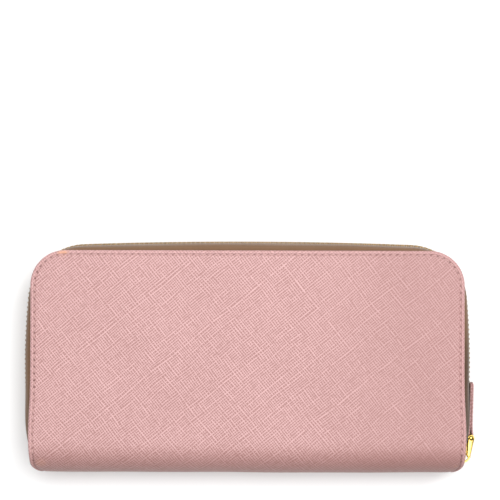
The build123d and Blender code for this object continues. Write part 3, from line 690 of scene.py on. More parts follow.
def leather_relief(x, s):
    """Height of the outer face: rounded over the turned edge, raised along the border, drawn down by the seam and
    lifted again by the padding, with slow unevenness from handling."""
    d = sheet_edge(x, s)
    rounded = -FOLD_R * (1 - np.sqrt(np.maximum(1 - (1 - np.minimum(d / FOLD_R, 1)) ** 2, 0)))
    border = 0.10 * bell(d - 1.15, 0.55)
    pulled = 0.5 + 0.5 * np.cos(tau * seam_run(x, s) / STITCH_PITCH)
    seam = -0.24 * bell(d - SEAM_INSET, SEAM_REACH)
    border += 0.04 * pulled * bell(d - 0.9, 0.6)
    padding = 0.14 * (1 - np.exp(-np.maximum(d - SEAM_INSET, 0) / 1.2)) + 0.20 * np.clip(d / 45, 0, 1) ** 0.7
    uneven = 0.10 * np.sin(x / 19 + 1.3 * np.sin(s / 23)) * np.sin(s / 17 + 0.8) + 0.05 * np.sin(x / 7.3 - s / 9.1)
    return rounded + border + seam + padding + uneven * np.clip((d - 3) / 12, 0, 1)


def edge_direction(x, s):
    """Direction on the sheet straight out to its nearest edge: radial in a free corner, square to a side
    elsewhere."""
    over_x, over_s = np.abs(x) - (HALF_LENGTH - COVER_CORNER), np.abs(s) - (SHEET_HALF - COVER_CORNER)
    corner = (over_x > 0) & (over_s > 0)
    out_x = np.where(corner, over_x, np.where(over_x > over_s, 1.0, 0.0))
    out_s = np.where(corner, over_s, np.where(over_x > over_s, 0.0, 1.0))
    return np.sign(np.stack([x, s], -1)) * unit(np.stack([out_x, out_s], -1))


def make_cover_leather():
    """Outer skin of both covers and the spine in one sheet, its edge turned under over the board."""
    x, s = sheet_grid(0, 1.9)
    d = sheet_edge(x, s)
    outside = bend(x, s, -leather_relief(x, s))
    near = np.minimum(d, FOLD_R)
    under = FOLD_R + FOLD_R * np.sqrt(np.maximum(1 - (1 - near / FOLD_R) ** 2, 0))
    single = np.clip((d - TURNED_W) / 0.7, 0, 1)
    inside = bend(x, s, under + (LEATHER_T - TURNED_T) * single)
    outside[..., 2] = np.maximum(outside[..., 2], RESTING)
    marks = {"seam": bell(d - SEAM_INSET, SEAM_REACH), "ridge": bell(d - FOLD_R, 0.55), "run": seam_run(x, s),
             "outer": np.ones(x.shape)}
    # flat coordinates run on round the folded edge and back under it, so the grain isn't stretched there
    turn = np.arcsin(1 - near / FOLD_R)
    further = [FOLD_R * turn - (FOLD_R - near), FOLD_R * (pi - turn) - (FOLD_R - near) + 2 * (d - near)]
    flat = [np.stack([x, s], -1) + edge_direction(x, s) * length[..., None] for length in further]
    piece = shell("cover_leather", outside, inside, leather, tuple(flat), marks)
    return bent_piece(piece, "leather", "cover_leather_front", "cover_leather_back")


def make_layer(name, outer, inner, inset, finish, slot, nodes, half_height=None):
    """Continuous inner layer between two depths, its edge inside the leather's. half_height keeps only the roll."""
    steps = np.array([0, 0.15, 0.5, 1.2, 2.5, 4.5, 7.0, 10.0, 13.0])
    x, s = sheet_grid(inset, 3.2, steps)
    if half_height:
        keep = np.abs(s[:, 0]) <= FLAT_START + half_height
        x, s = x[keep], s[keep]
    d = sheet_edge(x, s) - inset
    hem = 0.12 * bell(d - 0.6, 0.5)
    seam = -0.10 * bell(d - (SEAM_INSET - inset), 0.5) if inset < SEAM_INSET else 0 * d
    piece = shell(name, bend(x, s, outer + 0 * d), bend(x, s, inner + hem + seam), finish, np.stack([x, s], -1))
    return bent_piece(piece, slot, *nodes)


make_cover_leather()
make_layer("spine_reinforcement", LEATHER_T + 0.05, LINING_OUT - 0.05, LEATHER_T + 0.3, felt, "padding",
           ("spine_reinforcement_front", "spine_reinforcement_back"), 0.5)
make_layer("cover_lining", LINING_OUT, LINING_IN, 1.0, lining, "lining",
           ("cover_lining_front", "cover_lining_back"))

# ---------------------------------------------------------------- stitches


def capsule(length, width, height, rings=7, around=8):
    """Sewn stitch along X: a round thread whose ends dive into their holes. Each ring is an ellipse, full along the
    middle and closing on a half circle at the ends; the middle arches up."""
    u = np.sin(np.linspace(-pi / 2, pi / 2, rings))
    full = np.maximum(1 - u**6, 0) ** 0.5
    turn = np.linspace(0, tau, around, endpoint=False)
    x = np.broadcast_to((u * length / 2)[:, None], (rings, around))
    y = (0.04 + 0.96 * full)[:, None] * np.cos(turn) * width / 2
    z = (0.04 + 0.96 * full)[:, None] * np.sin(turn) * height / 2 - (u**4 * height * 0.75)[:, None]
    return stack(np.stack([x, y, z], -1))


def seam_point(run):
    """Sheet point and direction of the seam at a signed run from the middle of the free edge."""
    side, run = np.sign(run), np.abs(run)
    r, start = COVER_CORNER - SEAM_INSET, HALF_LENGTH - COVER_CORNER
    turn = np.clip((run - start) / r, 0, pi / 2)
    past = np.maximum(run - start - r * pi / 2, 0)
    x = np.minimum(run, start) + r * np.sin(turn)
    s = SHEET_HALF - COVER_CORNER + r * np.cos(turn) - past
    x = np.where(past > 0, sheet_side(s) - SEAM_INSET, x)
    return side * x, s, np.cos(turn), -side * np.sin(turn)


def make_edge_stitching(half, mirror):
    """Stitches round one cover, evenly spaced along the seam and a little slanted, mapped through the bend."""
    whole = HALF_LENGTH - COVER_CORNER + (COVER_CORNER - SEAM_INSET) * pi / 2 + SHEET_HALF - COVER_CORNER
    count = int((whole - 13.0) / STITCH_PITCH)
    runs = (np.arange(count) + 0.5) * STITCH_PITCH
    one, faces = capsule(2.35, 0.56, 0.44)
    parts = []
    for run in np.concatenate([-runs[::-1], runs]):
        x, s, along_x, along_s = (float(v) for v in seam_point(run))
        slant = radians(7)
        u = one[:, 0] * cos(slant) - one[:, 1] * sin(slant)
        v = one[:, 0] * sin(slant) + one[:, 1] * cos(slant)
        px, ps = x + u * along_x - v * along_s, s + u * along_s + v * along_x
        points = bend(px, ps * mirror, -one[:, 2] + 0.12)
        points[:, 2] = np.maximum(points[:, 2], RESTING)
        parts.append((points, faces))
    flat = np.tile(one[:, :2], (len(parts), 1))
    piece = joined(f"edge_stitching_{half}", parts, thread, uv=flat)
    finish_piece(piece, f"{half}_half", "thread", f"edge_stitching_{half}")


make_edge_stitching("front", -1)
make_edge_stitching("back", 1)

# ---------------------------------------------------------------- the main zip's line


def zip_line():
    """The zip's line from its right end round to its left end: two side arcs, two corner arcs that touch them from
    inside, and the free edge's arc. Returns points and outward directions at close, even steps."""
    top = np.array([0, ZIP_TOP_Y - ZIP_TOP_RADIUS])
    side = np.array([SIDE_X, 0.0])
    reach_top, reach_side = ZIP_TOP_RADIUS - ZIP_CORNER, SIDE_RADIUS - ZIP_CORNER
    between = side - top
    apart = hypot(*between)
    along = (reach_top**2 - reach_side**2 + apart**2) / (2 * apart)
    across = sqrt(reach_top**2 - along**2)
    ahead = between / apart
    corner = top + ahead * along + np.array([ahead[1], -ahead[0]]) * across
    turn_top = atan2(corner[0] - top[0], corner[1] - top[1])
    turn_side = atan2(corner[0] - side[0], corner[1] - side[1])
    end = pi / 2 - np.arcsin(TAPE_END_Y / SIDE_RADIUS)
    pieces = []
    for centre, radius, first, last in (
        (side, SIDE_RADIUS, end, turn_side), (corner, ZIP_CORNER, turn_side, turn_top),
        (top, ZIP_TOP_RADIUS, turn_top, 0)
    ):
        turn = np.linspace(first, last, 600, endpoint=centre is top)
        outward = np.stack([np.sin(turn), np.cos(turn)], 1)
        pieces.append(np.concatenate([centre + radius * outward, outward], 1))
    right = np.concatenate(pieces)
    left = right[-2::-1] * np.array([-1, 1, -1, 1])
    return np.concatenate([right, left])


ZIP = zip_line()
ZIP_RUN = running(np.hypot(*np.diff(ZIP[:, :2], axis=0).T))
ZIP_LENGTH = ZIP_RUN[-1]


def on_zip(run):
    """Points and unit outward directions on the zip's line."""
    values = np.stack([np.interp(run, ZIP_RUN, ZIP[:, k]) for k in range(4)], -1)
    return values[..., :2], unit(values[..., 2:])


def run_at_y(y):
    """Run along the zip of the first point at height y, on the right side."""
    first = ZIP_RUN < ZIP_LENGTH / 4
    return float(np.interp(y, ZIP[first, 1], ZIP_RUN[first]))

# ---------------------------------------------------------------- zip tapes, teeth and stops


def upside(points, half):
    """Points of the front half, or mirrored about the middle plane for the back half."""
    return points if half == "front" else points * (1, 1, -1) + (0, 0, 2 * MIDDLE)


def nearest_edge(point, inset):
    """Nearest point of the cover's outline moved inwards by inset; it runs on straight past the spine."""
    core_x, core_y = HALF_LENGTH - COVER_CORNER, FREE_Y - COVER_CORNER
    core = np.stack([np.clip(point[..., 0], -core_x, core_x), np.minimum(point[..., 1], core_y)], -1)
    return core + unit(point - core) * (COVER_CORNER - inset)


def bezier(a, b, c, d, t):
    """Cubic curve from a to d, drawn towards b and c on its way."""
    return a * (1 - t) ** 3 + 3 * b * t * (1 - t) ** 2 + 3 * c * t**2 * (1 - t) + d * t**3


TAPE_TOP = MIDDLE - 1.5  # the tape's edge, gripped by the teeth
TAPE_T = 0.5
TAPE_EXIT = 0.3  # where the tape leaves the cover's edge
TAPE_UPRIGHT = MIDDLE - 4.5  # above this the tape stands square to the cover
SLACK, SLACK_Y, SLACK_REACH = 1.3, -29.0, 13.0  # the tape bulges out beside the slider


def make_zip_tape(half):
    """Woven tape: level where it is sewn under the cover's edge, then curving out and up to stand square to the
    cover along the zip. Past the bend line it is lifted inside the rolled spine."""
    run = np.linspace(0, ZIP_LENGTH, 330)
    point, outward = on_zip(run)
    edge = nearest_edge(point, TAPE_EXIT)
    t = np.linspace(0, 1, 9)[None, :]
    depth = (LINING_OUT + LEATHER_T + 0.8) / 2
    away = np.linalg.norm(point - edge, axis=-1)[:, None]
    sign = np.sign(((point - edge) * outward).sum(-1))[:, None]
    start, stop = 0 * away, away * sign
    across = bezier(start, 0.75 * stop, stop, stop, t)
    across = np.concatenate([-3.0 * np.linspace(1, 0.2, 3) + 0 * start, across, stop + np.zeros((1, 3))], 1)
    swell = 0.10 * np.sin(run / 9.7)[:, None] * np.sin(pi * np.linspace(0, 1, across.shape[1]))[None, :]
    z = bezier(0 * start + depth, depth + 0.1, 4.3, TAPE_UPRIGHT, t)
    z = np.concatenate([depth + np.zeros((len(run), 3)), z, np.array([[9.0, 10.0, TAPE_TOP]]) + 0 * start], 1)
    slack = SLACK * bell(point[:, 1] - SLACK_Y, SLACK_REACH)[:, None]
    swell = swell + slack * np.sin(pi * np.clip((z - 2.6) / 5.6, 0, 1)) ** 2
    base = edge[:, None, :] + outward[:, None, :] * (across + swell)[..., None]
    top = point[:, None, :] + 0 * base
    base = np.where((z > TAPE_UPRIGHT - 0.1)[..., None], top, base)
    past_bend = np.minimum(point[:, 1] - BEND_Y, 0)
    low = MIDDLE - np.sqrt(np.maximum((MIDDLE - LINING_IN - 0.35) ** 2 - past_bend**2, 0))
    ease = np.clip((BEND_Y + 3 - point[:, 1]) / 4, 0, 1)
    low = (depth + (low - depth) * ease * ease * (3 - 2 * ease))[:, None]
    z = low + (z - depth) * (TAPE_TOP - low) / (TAPE_TOP - depth)
    middle_grid = np.concatenate([base, z[..., None]], -1)
    outside, inside = thickened(middle_grid, TAPE_T / 2)
    name, flat = f"zip_tape_{half}", grid_lengths(middle_grid)
    piece = shell(name, upside(outside, half), upside(inside, half), tape, flat)
    finish_piece(piece, f"{half}_half", "zip_tape", name)


def tooth_shape(length, width, leg, nose):
    """Zip tooth about its own centre, Z towards the other row: rounded legs that grip the tape, a narrower neck
    and a rounded head. Each section is a rectangle with cut corners."""
    levels = np.array([-leg, -leg + 0.18, -leg + 0.6, -0.95, -0.55, nose - 0.45, nose - 0.15, nose])
    long = length * np.array([0.62, 0.92, 1.0, 1.0, 0.86, 0.98, 0.86, 0.55]) / 2
    wide = width * np.array([0.62, 0.86, 0.95, 1.0, 0.98, 0.96, 0.84, 0.60]) / 2
    side = 1 - 0.28
    corner = np.array([(1, side), (side, 1), (-side, 1), (-1, side), (-1, -side), (-side, -1), (side, -1),
                       (1, -side)])
    xy = corner[None] * np.stack([long, wide], -1)[:, None]
    return stack(np.concatenate([xy, np.broadcast_to(levels[:, None, None], (len(levels), 8, 1))], -1))


def row_of_teeth(runs, shape, half):
    """The same tooth at each run along the zip, square to it."""
    parts = []
    for run in runs:
        point, outward = on_zip(np.array(run))
        local, faces = shape
        along = np.array([outward[1], -outward[0]])
        xy = point + local[:, :1] * along + local[:, 1:2] * outward
        parts.append((upside(np.column_stack([xy, MIDDLE + local[:, 2]]), half), faces))
    return parts


SLIDER_LENGTH, DIAMOND_LENGTH, STOP_GAP, STOP_LENGTH = 10.0, 3.2, 0.3, 1.5
slider_low, slider_high = node_box("slider_body")
SLIDER_Y = node_middle("slider_body")[1]
SLIDER_HALF_H = (slider_high[2] - slider_low[2]) / 2
SLIDER_FACE = TOOTH_W / 2 + 1.05
TEETH_START = run_at_y(SLIDER_Y - (SLIDER_LENGTH / 2 - DIAMOND_LENGTH - STOP_GAP))
ROW_MARGIN = TOOTH_PITCH / 4 + TOOTH_LENGTH / 2  # from a row's end to the middle of its first tooth


def make_zip_teeth(half, shift):
    """One row of teeth, staggered against the other by half a pitch, and its stops at the two ends."""
    length = ZIP_LENGTH - 2 * TEETH_START
    count = int((length - 2 * ROW_MARGIN) / TOOTH_PITCH)
    first = TEETH_START + (length - count * TOOTH_PITCH) / 2 + shift
    shape = tooth_shape(TOOTH_LENGTH, TOOTH_W, TOOTH_LEG, TOOTH_NOSE)
    parts = row_of_teeth(first + TOOTH_PITCH * np.arange(count + 1), shape, half)
    piece = joined(f"zip_teeth_{half}", parts, zip_brass)
    finish_piece(piece, f"{half}_half", "zip_metal", f"zip_teeth_{half}")
    at = TEETH_START - STOP_GAP - STOP_LENGTH / 2
    parts = row_of_teeth([at], tooth_shape(STOP_LENGTH, 0.8, TOOTH_LEG, -1.15), half)
    parts += row_of_teeth([ZIP_LENGTH - at], tooth_shape(STOP_LENGTH, TOOTH_W, TOOTH_LEG, -0.05), half)
    piece = joined(f"zip_stops_{half}", parts, zip_brass)
    finish_piece(piece, f"{half}_half", "zip_metal", f"zip_stops_{half}")


for half, shift in (("front", -TOOTH_PITCH / 4), ("back", TOOTH_PITCH / 4)):
    make_zip_tape(half)
    make_zip_teeth(half, shift)

# ---------------------------------------------------------------- slider, crown, link, pin and pull tab


def slider_half(length, face, plate_t, half_h, lip_t, lip_edge, flare, roundness):
    """One plate of a slider with its turned lips: a C section carried along X, wider towards the closing end, its
    corners rounded seen from outside. X towards the closing end, Y outwards, Z across."""
    share = np.array([0, 0.012, 0.05, 0.11, 0.2, 0.35, 0.5, 0.65, 0.8, 0.89, 0.95, 0.988, 1])
    x = (share - 0.5) * length
    end = np.minimum(share, 1 - share) * length
    drawn_in = roundness - np.sqrt(np.maximum(roundness**2 - np.maximum(roundness - end, 0) ** 2, 0))
    bevel = 0.22 * (1 - np.minimum(end / 0.3, 1)) ** 2
    h = half_h - flare * (1 - share) - 0.25 * np.sin(pi * share) ** 2 - drawn_in
    inner = face - plate_t
    turn = np.linspace(0, pi / 2, 6)
    r = min(0.8 * plate_t, 0.75)
    corner_y, corner_z = face - r + r * np.cos(turn), -r + r * np.sin(turn)
    rings = []
    for k in range(len(x)):
        low = h[k] - lip_t * (1 - 0.6 * (end[k] < 0.06))
        upper = [(y - bevel[k], h[k] + z - 0.3 * bevel[k]) for y, z in zip(corner_y, corner_z)]
        section = upper + [(lip_edge, h[k]), (lip_edge, low), (inner, low)]
        section += [(y, -z) for y, z in section[::-1]]
        rings.append([(x[k], y, z) for y, z in section])
    return stack(rings)


def flipped(part):
    """The part mirrored through its Y."""
    return part[0] * (1, -1, 1), part[1]


def strap_along(path, width, thickness, around=14):
    """Strap with rounded edges along a plane path in X and Y: each section is a superellipse, wide along Z."""
    path = np.asarray(path, float)
    tangent = unit(np.gradient(path, axis=0))
    normal = np.stack([-tangent[:, 1], tangent[:, 0]], 1)
    turn = np.linspace(0, tau, around, endpoint=False)
    a, b = np.cos(turn), np.sin(turn)
    z, out = power(a, 0.55) * width / 2, power(b, 0.55) * thickness / 2
    xy = path[:, None, :] + normal[:, None, :] * out[None, :, None]
    return stack(np.concatenate([xy, np.broadcast_to(z, (len(path), around))[..., None]], -1))


def turned_shape(profile, around=28):
    """Round piece about Z: radii and heights of a profile turned once round."""
    turn = np.linspace(0, tau, around, endpoint=False)
    rings = [np.column_stack([r * np.cos(turn), r * np.sin(turn), np.full(around, z)]) for r, z in profile]
    return stack(rings)


def slider_pieces(place, length, face, plate_t, half_h, lip_t, slot, flare, roundness, wedge, wedge_w):
    """Both plates of a slider and the wedge between them, set in place."""
    plate = slider_half(length, face, plate_t, half_h, lip_t, slot / 2, flare, roundness)
    end = length / 2 - 0.3
    outline = [(length / 2 - wedge, 0), (end, -wedge_w), (end + 0.05, 0), (end, wedge_w)]
    points, faces = slab(np.array(outline), plate_t - face, face - plate_t, 0.05)
    wedge_part = points[:, [0, 2, 1]], faces
    return [placed(part, *place) for part in (plate, flipped(plate), wedge_part)]


def make_crown(name, body, place, front, rear, height, face, plate_t, shrink, foot, width, thickness):
    """Crown over a slider's face: a strap along the arc through its two feet and its top, drawn in by shrink
    towards a point inside the plate, with its feet let into the plate."""
    half, middle = (front + rear) / 2, (front - rear) / 2
    radius = (half**2 + height**2) / (2 * height)
    turn = np.linspace(-1, 1, 22) * np.arcsin(half / radius)
    path = np.stack([middle + radius * np.sin(turn), face + height - radius + radius * np.cos(turn)], 1)
    path = path - shrink * unit(path - np.array([middle, face - plate_t]))
    path = np.concatenate([path[:1] - (0, foot), path, path[-1:] - (0, foot)])
    crown = placed(strap_along(path, width, thickness), *place)
    finish_piece(joined(name, [crown], gold), body, "gold_metal", name)


side_turn = pi / 2 - np.arcsin(SLIDER_Y / SIDE_RADIUS)
slider_centre = np.array([SIDE_X + SIDE_RADIUS * sin(side_turn), SIDE_RADIUS * cos(side_turn), MIDDLE])
closing = np.array([cos(side_turn), -sin(side_turn), 0])
slider_out = np.array([sin(side_turn), cos(side_turn), 0])
slider_place = (slider_centre, closing)


def pull_leaf(length, eye_r, toe_r, inner_z, thickness, recess_r, recess_depth):
    """One arm of the link: two round ends joined by their tangents, edges rounded, with a round recess for the
    pin's head. Its rings close in from the outline to the recess; angles are taken about the eye."""
    outline = tapered_outline(toe_r, eye_r, length)
    eye = np.array([length, 0.0])
    body, faces = slab(outline, inner_z, inner_z + thickness, 0.5)
    count = len(outline)
    rings = body.reshape(-1, count, 3)
    direction = unit(rings[-1, :, :2] - eye)
    top = inner_z + thickness
    extra = []
    for r, z in ((recess_r + 0.1, top), (recess_r, top - 0.04), (recess_r - 0.05, top - recess_depth)):
        extra.append(np.column_stack([eye + direction * r, np.full(count, z)]))
    return stack(np.concatenate([rings, np.array(extra)]))


pin_point = np.array([*node_middle("pull_pin")[:2], MIDDLE])
BAR_AT, BAR_RISE, BAR_R = 1.1, 0.95, 0.6
bar_point = slider_centre + closing * BAR_AT + slider_out * (SLIDER_FACE + BAR_RISE)
LINK_LENGTH = hypot(*(pin_point - bar_point)[:2])
LINK_LEAN = (pin_point - bar_point) / LINK_LENGTH
ARM_OUT = node_box("pull_link")[1][2] - MIDDLE
ARM_T, EYE_R, TOE_R, RECESS_R, RECESS_DEPTH = 1.2, 1.55, 0.85, 1.2, 0.4
TAB_W, TAB_LENGTH, TAB_LAYER, TAB_TAPER, TAB_CORNER, TAB_LEAN = 7.0, 24.6, 0.78, 4.0, 2.2, radians(1.5)
TAB_SEAM = 1.1
PIN_R = 0.6


def make_slider():
    """Slider body and the crown that holds the link's bar."""
    parts = slider_pieces(slider_place, SLIDER_LENGTH, SLIDER_FACE, 0.9, SLIDER_HALF_H, 0.8, 1.3, 0.3, 1.5,
                          DIAMOND_LENGTH, 0.9)
    finish_piece(joined("slider_body", parts, gold), "zip_slider", "gold_metal", "slider_body")
    make_crown("slider_bail", "zip_slider", slider_place, 4.9, 1.7, 2.5, SLIDER_FACE, 0.8, 0.38, 0.35, 2.2, 0.76)


def make_link():
    """Clevis link: two tapered arms, the bar through the crown and a pin with domed heads."""
    place = (bar_point, LINK_LEAN)
    arm = pull_leaf(LINK_LENGTH, EYE_R, TOE_R, ARM_OUT - ARM_T, ARM_T, RECESS_R, RECESS_DEPTH)
    under = arm[0] * (1, 1, -1), arm[1]
    bar = turned_shape([(BAR_R - 0.1, -ARM_OUT + 0.1), (BAR_R, -ARM_OUT + 0.3), (BAR_R, ARM_OUT - 0.3),
                        (BAR_R - 0.1, ARM_OUT - 0.1)], 20)
    # the recess round each pin head is marked for painted shade
    dark = [(np.hypot(points[:, 0] - LINK_LENGTH, points[:, 1]) < RECESS_R + 0.02) * 1.0
            for points, _ in (arm, under)]
    dark.append(np.zeros(len(bar[0])))
    parts = [placed(part, *place) for part in (arm, under, bar)]
    piece = joined("pull_link", parts, gold, marks={"recess_shade": np.concatenate(dark)})
    finish_piece(piece, "pull_link", "gold_metal", "pull_link")
    floor = ARM_OUT - RECESS_DEPTH
    dome = [(0.08, floor + 0.42), (0.35, floor + 0.39), (0.6, floor + 0.3), (0.78, floor + 0.16), (0.84, floor)]
    profile = dome + [(PIN_R, floor - 0.02)]
    profile += [(r, -z) for r, z in profile[::-1]]
    pin = placed(turned_shape(profile), pin_point, LINK_LEAN)
    finish_piece(joined("pull_pin", [pin], gold), "pull_link", "gold_metal", "pull_pin")


def tab_path():
    """Middle line of the folded strap: out along one layer, round the pin and back along the other."""
    half = TAB_LAYER / 2
    loop_r = PIN_R + 0.05 + half
    meet = acos((loop_r - half) / TAB_TAPER)
    straight = np.linspace(TAB_LENGTH, TAB_TAPER, 26)
    turn = np.linspace(meet, tau - meet, 26)
    over = np.stack([straight, np.full(26, half)], 1)
    round_pin = np.stack([loop_r * np.cos(turn), loop_r * np.sin(turn)], 1)
    under = over[::-1] * (1, -1)
    path = np.concatenate([over, round_pin, under])
    off_pin = np.hypot(path[:, 0], path[:, 1])[:, None] > loop_r + 0.2
    return np.where(off_pin, smoothed(path, 3), path)


def make_tab():
    """Leather pull tab: one strap folded round the pin, rounded at its free end, pressed down by its seam and a
    little thinner at its painted edges."""
    path = tab_path()
    reach = TAB_LENGTH - path[:, 0]
    corner = TAB_CORNER - np.sqrt(np.maximum(TAB_CORNER**2 - np.maximum(TAB_CORNER - reach, 0) ** 2, 0))
    half_w = TAB_W / 2 - corner * (reach < TAB_CORNER)
    share = np.sin(np.linspace(-pi / 2, pi / 2, 27))
    z = half_w[:, None] * share[None, :]
    middle_grid = np.concatenate([np.broadcast_to(path[:, None, :], z.shape + (2,)), z[..., None]], -1)
    border = np.minimum(half_w[:, None] - np.abs(z), reach[:, None] + 0 * z)
    thin = 1 - 0.45 * np.exp(-border / 0.16) - 0.16 * bell(border - TAB_SEAM, 0.3) * (path[:, :1] > TAB_TAPER)
    outside, inside = thickened(middle_grid, TAB_LAYER / 2 * thin)
    along = running(np.hypot(*np.diff(path, axis=0).T))
    uv = np.stack([z, np.broadcast_to(along[:, None], z.shape)], -1)
    direction = (sin(TAB_LEAN), cos(TAB_LEAN), 0)
    points, faces = placed(shell_arrays(outside, inside), pin_point, direction)
    marks = {"seam": np.tile(0.8 * bell(border - TAB_SEAM, 0.35).ravel(), 2),
             "run": np.full(2 * z.size, STITCH_PITCH / 2)}
    piece = add_mesh("pull_tab", points, faces, leather, np.tile(uv.reshape(-1, 2), (2, 1)), marks)
    finish_piece(piece, "pull_tab", "leather", "pull_tab")
    one, faces = capsule(1.95, 0.42, 0.30)
    parts = []
    for x in np.arange(TAB_TAPER + 1.9, TAB_LENGTH - TAB_CORNER + 0.1, 2.6):
        for side in (-1, 1):
            for z_line in (-TAB_W / 2 + TAB_SEAM, TAB_W / 2 - TAB_SEAM):
                y = side * (TAB_LAYER - 0.04 + one[:, 2])
                local = np.column_stack([one[:, 0] + x, y, one[:, 1] + z_line])
                parts.append(placed((local, faces), pin_point, direction))
    piece = joined("tab_stitching", parts, thread, uv=np.tile(one[:, :2], (len(parts), 1)))
    finish_piece(piece, "pull_tab", "thread", "tab_stitching")


make_slider()
make_link()
make_tab()

# ---------------------------------------------------------------- card panels inside each cover

PANEL_HALF = node_box("card_backing_front")[1][0]
HEM_INSET = 1.6  # seam under a pocket's top edge


def panel_grid(half_width, bottom, top, corner, step=2.5):
    """Grid of a panel with round top corners: rows closer together near the top, columns near the ends."""
    fine = np.array([0, 0.12, 0.35, 0.7, 1.1, 1.5, 2.0, 2.8, 3.8])
    y = np.concatenate([np.linspace(bottom, top - fine[-1], int((top - bottom) / step)), top - fine[-2::-1]])
    past = np.clip(y - (top - corner), 0, corner)
    side = half_width - (corner - np.sqrt(np.maximum(corner**2 - past**2, 0)))
    share = np.linspace(-1, 1, int(2 * half_width / step) + 1)[1:-1]
    left = -side[:, None] + fine
    x = np.concatenate([left, (side[:, None] - fine[-1]) * share, -left[:, ::-1]], 1)
    return x, np.broadcast_to(y[:, None], x.shape), side


def make_card_panel(name, half, low, high, hem=True):
    """Card pocket: its top edge is turned and stitched, a seam down its middle parts two columns of cards, and its
    front face is a little slack between the seams."""
    box_low, box_high = node_box(name)
    x, y, side = panel_grid(box_high[0], box_low[1], box_high[1], 3.0)
    to_top, to_side = box_high[1] - y, side[:, None] - np.abs(x)
    to_edge = np.minimum(to_top, to_side)
    top_z, seam = high - 0.11 - 0.2 * np.exp(-to_edge / 0.22), 0 * x
    if hem:
        top_z += 0.07 * bell(to_top - 0.8, 0.5) - 0.10 * bell(to_top - HEM_INSET, 0.3) - 0.16 * bell(x, 0.8)
        top_z += 0.05 * np.sin(pi * np.clip(np.abs(x) / PANEL_HALF, 0, 1)) ** 2 * np.clip(to_top / 6, 0, 1)
        seam = bell(to_top - HEM_INSET, 0.3) + 0.8 * bell(x, 0.5)
    outside, inside = np.stack([x, y, top_z], -1), np.stack([x, y, np.full_like(x, low)], -1)
    outside, inside = upside(outside, half), upside(inside, half)
    piece = shell(name, outside, inside, card_leather, np.stack([x, y], -1), {"seam": seam})
    finish_piece(piece, f"{half}_half", "card_leather", name)


def make_tier_stitches(half):
    """Stitches along each card pocket's top hem and down the middle seam of the front one."""
    one, faces = capsule(1.7, 0.34, 0.26)
    parts = []
    for tier in (1, 2, 3):
        low, high = node_box(f"card_tier_{tier}_front")
        for x in np.arange(-high[0] + 3.4, high[0] - 3.0, 2.4):
            parts.append((one + (x, high[1] - HEM_INSET, high[2] - 0.15), faces))
        step_low = node_box(f"card_tier_{tier + 1}_front")[1][1] if tier < 3 else low[1]
        for y in np.arange(step_low + 1.2, high[1] - 2.8, 2.4):
            parts.append((one[:, [1, 0, 2]] + (0, y, high[2] - 0.22), faces))
    piece = joined(f"card_stitching_{half}", [(upside(p, half), f) for p, f in parts], thread,
                   uv=np.tile(one[:, :2], (len(parts), 1)))
    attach(piece, f"{half}_half")


for half in ("front", "back"):
    low, high = node_box("card_backing_front")
    make_card_panel(f"card_backing_{half}", half, low[2], high[2] + 0.08, hem=False)
    for tier in (1, 2, 3):
        low, high = node_box(f"card_tier_{tier}_front")
        make_card_panel(f"card_tier_{tier}_{half}", half, low[2] - 0.02, high[2])
    make_tier_stitches(half)
    for name, finish in (("stiffener_board", board), ("cover_padding", felt)):
        materials = frame["nodes"][f"{name}_{half}"].data.materials
        materials.clear()
        materials.append(finish)

# ---------------------------------------------------------------- gussets and coin pocket


def make_gusset(name, side):
    """Accordion gusset at one end: its outer folds lie on the two linings, it folds inwards twice and its middle
    ridge stands round the pocket's flange. The top edge dips at the inward folds."""
    low, high = node_box("gusset_right_front")
    fold_x, edge_x, inside_z, ridge_z = low[0], high[0], low[2], high[2]
    fold_z = inside_z + 4.35
    quarter = [(PANEL_HALF + 0.3, inside_z + 0.3), (edge_x - 0.9, inside_z + 0.3), (edge_x - 0.3, inside_z + 0.9),
               (fold_x + 0.5, fold_z), (edge_x - 0.6, ridge_z - 0.2)]
    whole = np.array(quarter + [(x, 2 * MIDDLE - z) for x, z in quarter[::-1]])
    path = smoothed(even_path(whole, 0.45), 4)
    y = np.concatenate([np.linspace(low[1], high[1] - 3, 22), high[1] - np.array([2.2, 1.5, 0.9, 0.45, 0.15, 0])])
    inward = (edge_x - path[:, 0]) / (edge_x - fold_x)
    share = (y - low[1]) / (high[1] - low[1])
    grid = np.empty((len(y), len(path), 3))
    grid[..., 0] = side * (path[None, :, 0] + 0.35 * np.sin(share * 9)[:, None] * inward * (1 - inward))
    grid[..., 1] = y[:, None] - 2.5 * (inward**2)[None, :] * (share**2)[:, None]
    grid[..., 2] = path[None, :, 1]
    to_top = high[1] - y
    half_t = 0.22 + 0.05 * bell(to_top - 0.6, 0.5)[:, None] + 0 * grid[..., 0]
    outside, inside = thickened(grid, half_t)
    marks = {"seam": np.broadcast_to(0.6 * bell(to_top - 1.5, 0.3)[:, None], half_t.shape)}
    piece = shell(name, outside, inside, lining, grid_lengths(grid), marks)
    return bent_piece(piece, "lining", f"{name}_front", f"{name}_back")


make_gusset("gusset_right", 1)
make_gusset("gusset_left", -1)

wall_low, wall_high = node_box("coin_wall_front")
strip_low, strip_high = node_box("coin_side_strip")
COIN_HALF, COIN_BOTTOM, COIN_TOP = wall_high[0], wall_low[1], wall_high[1]
COIN_ZIP_Y = node_middle("coin_zip_teeth")[1]


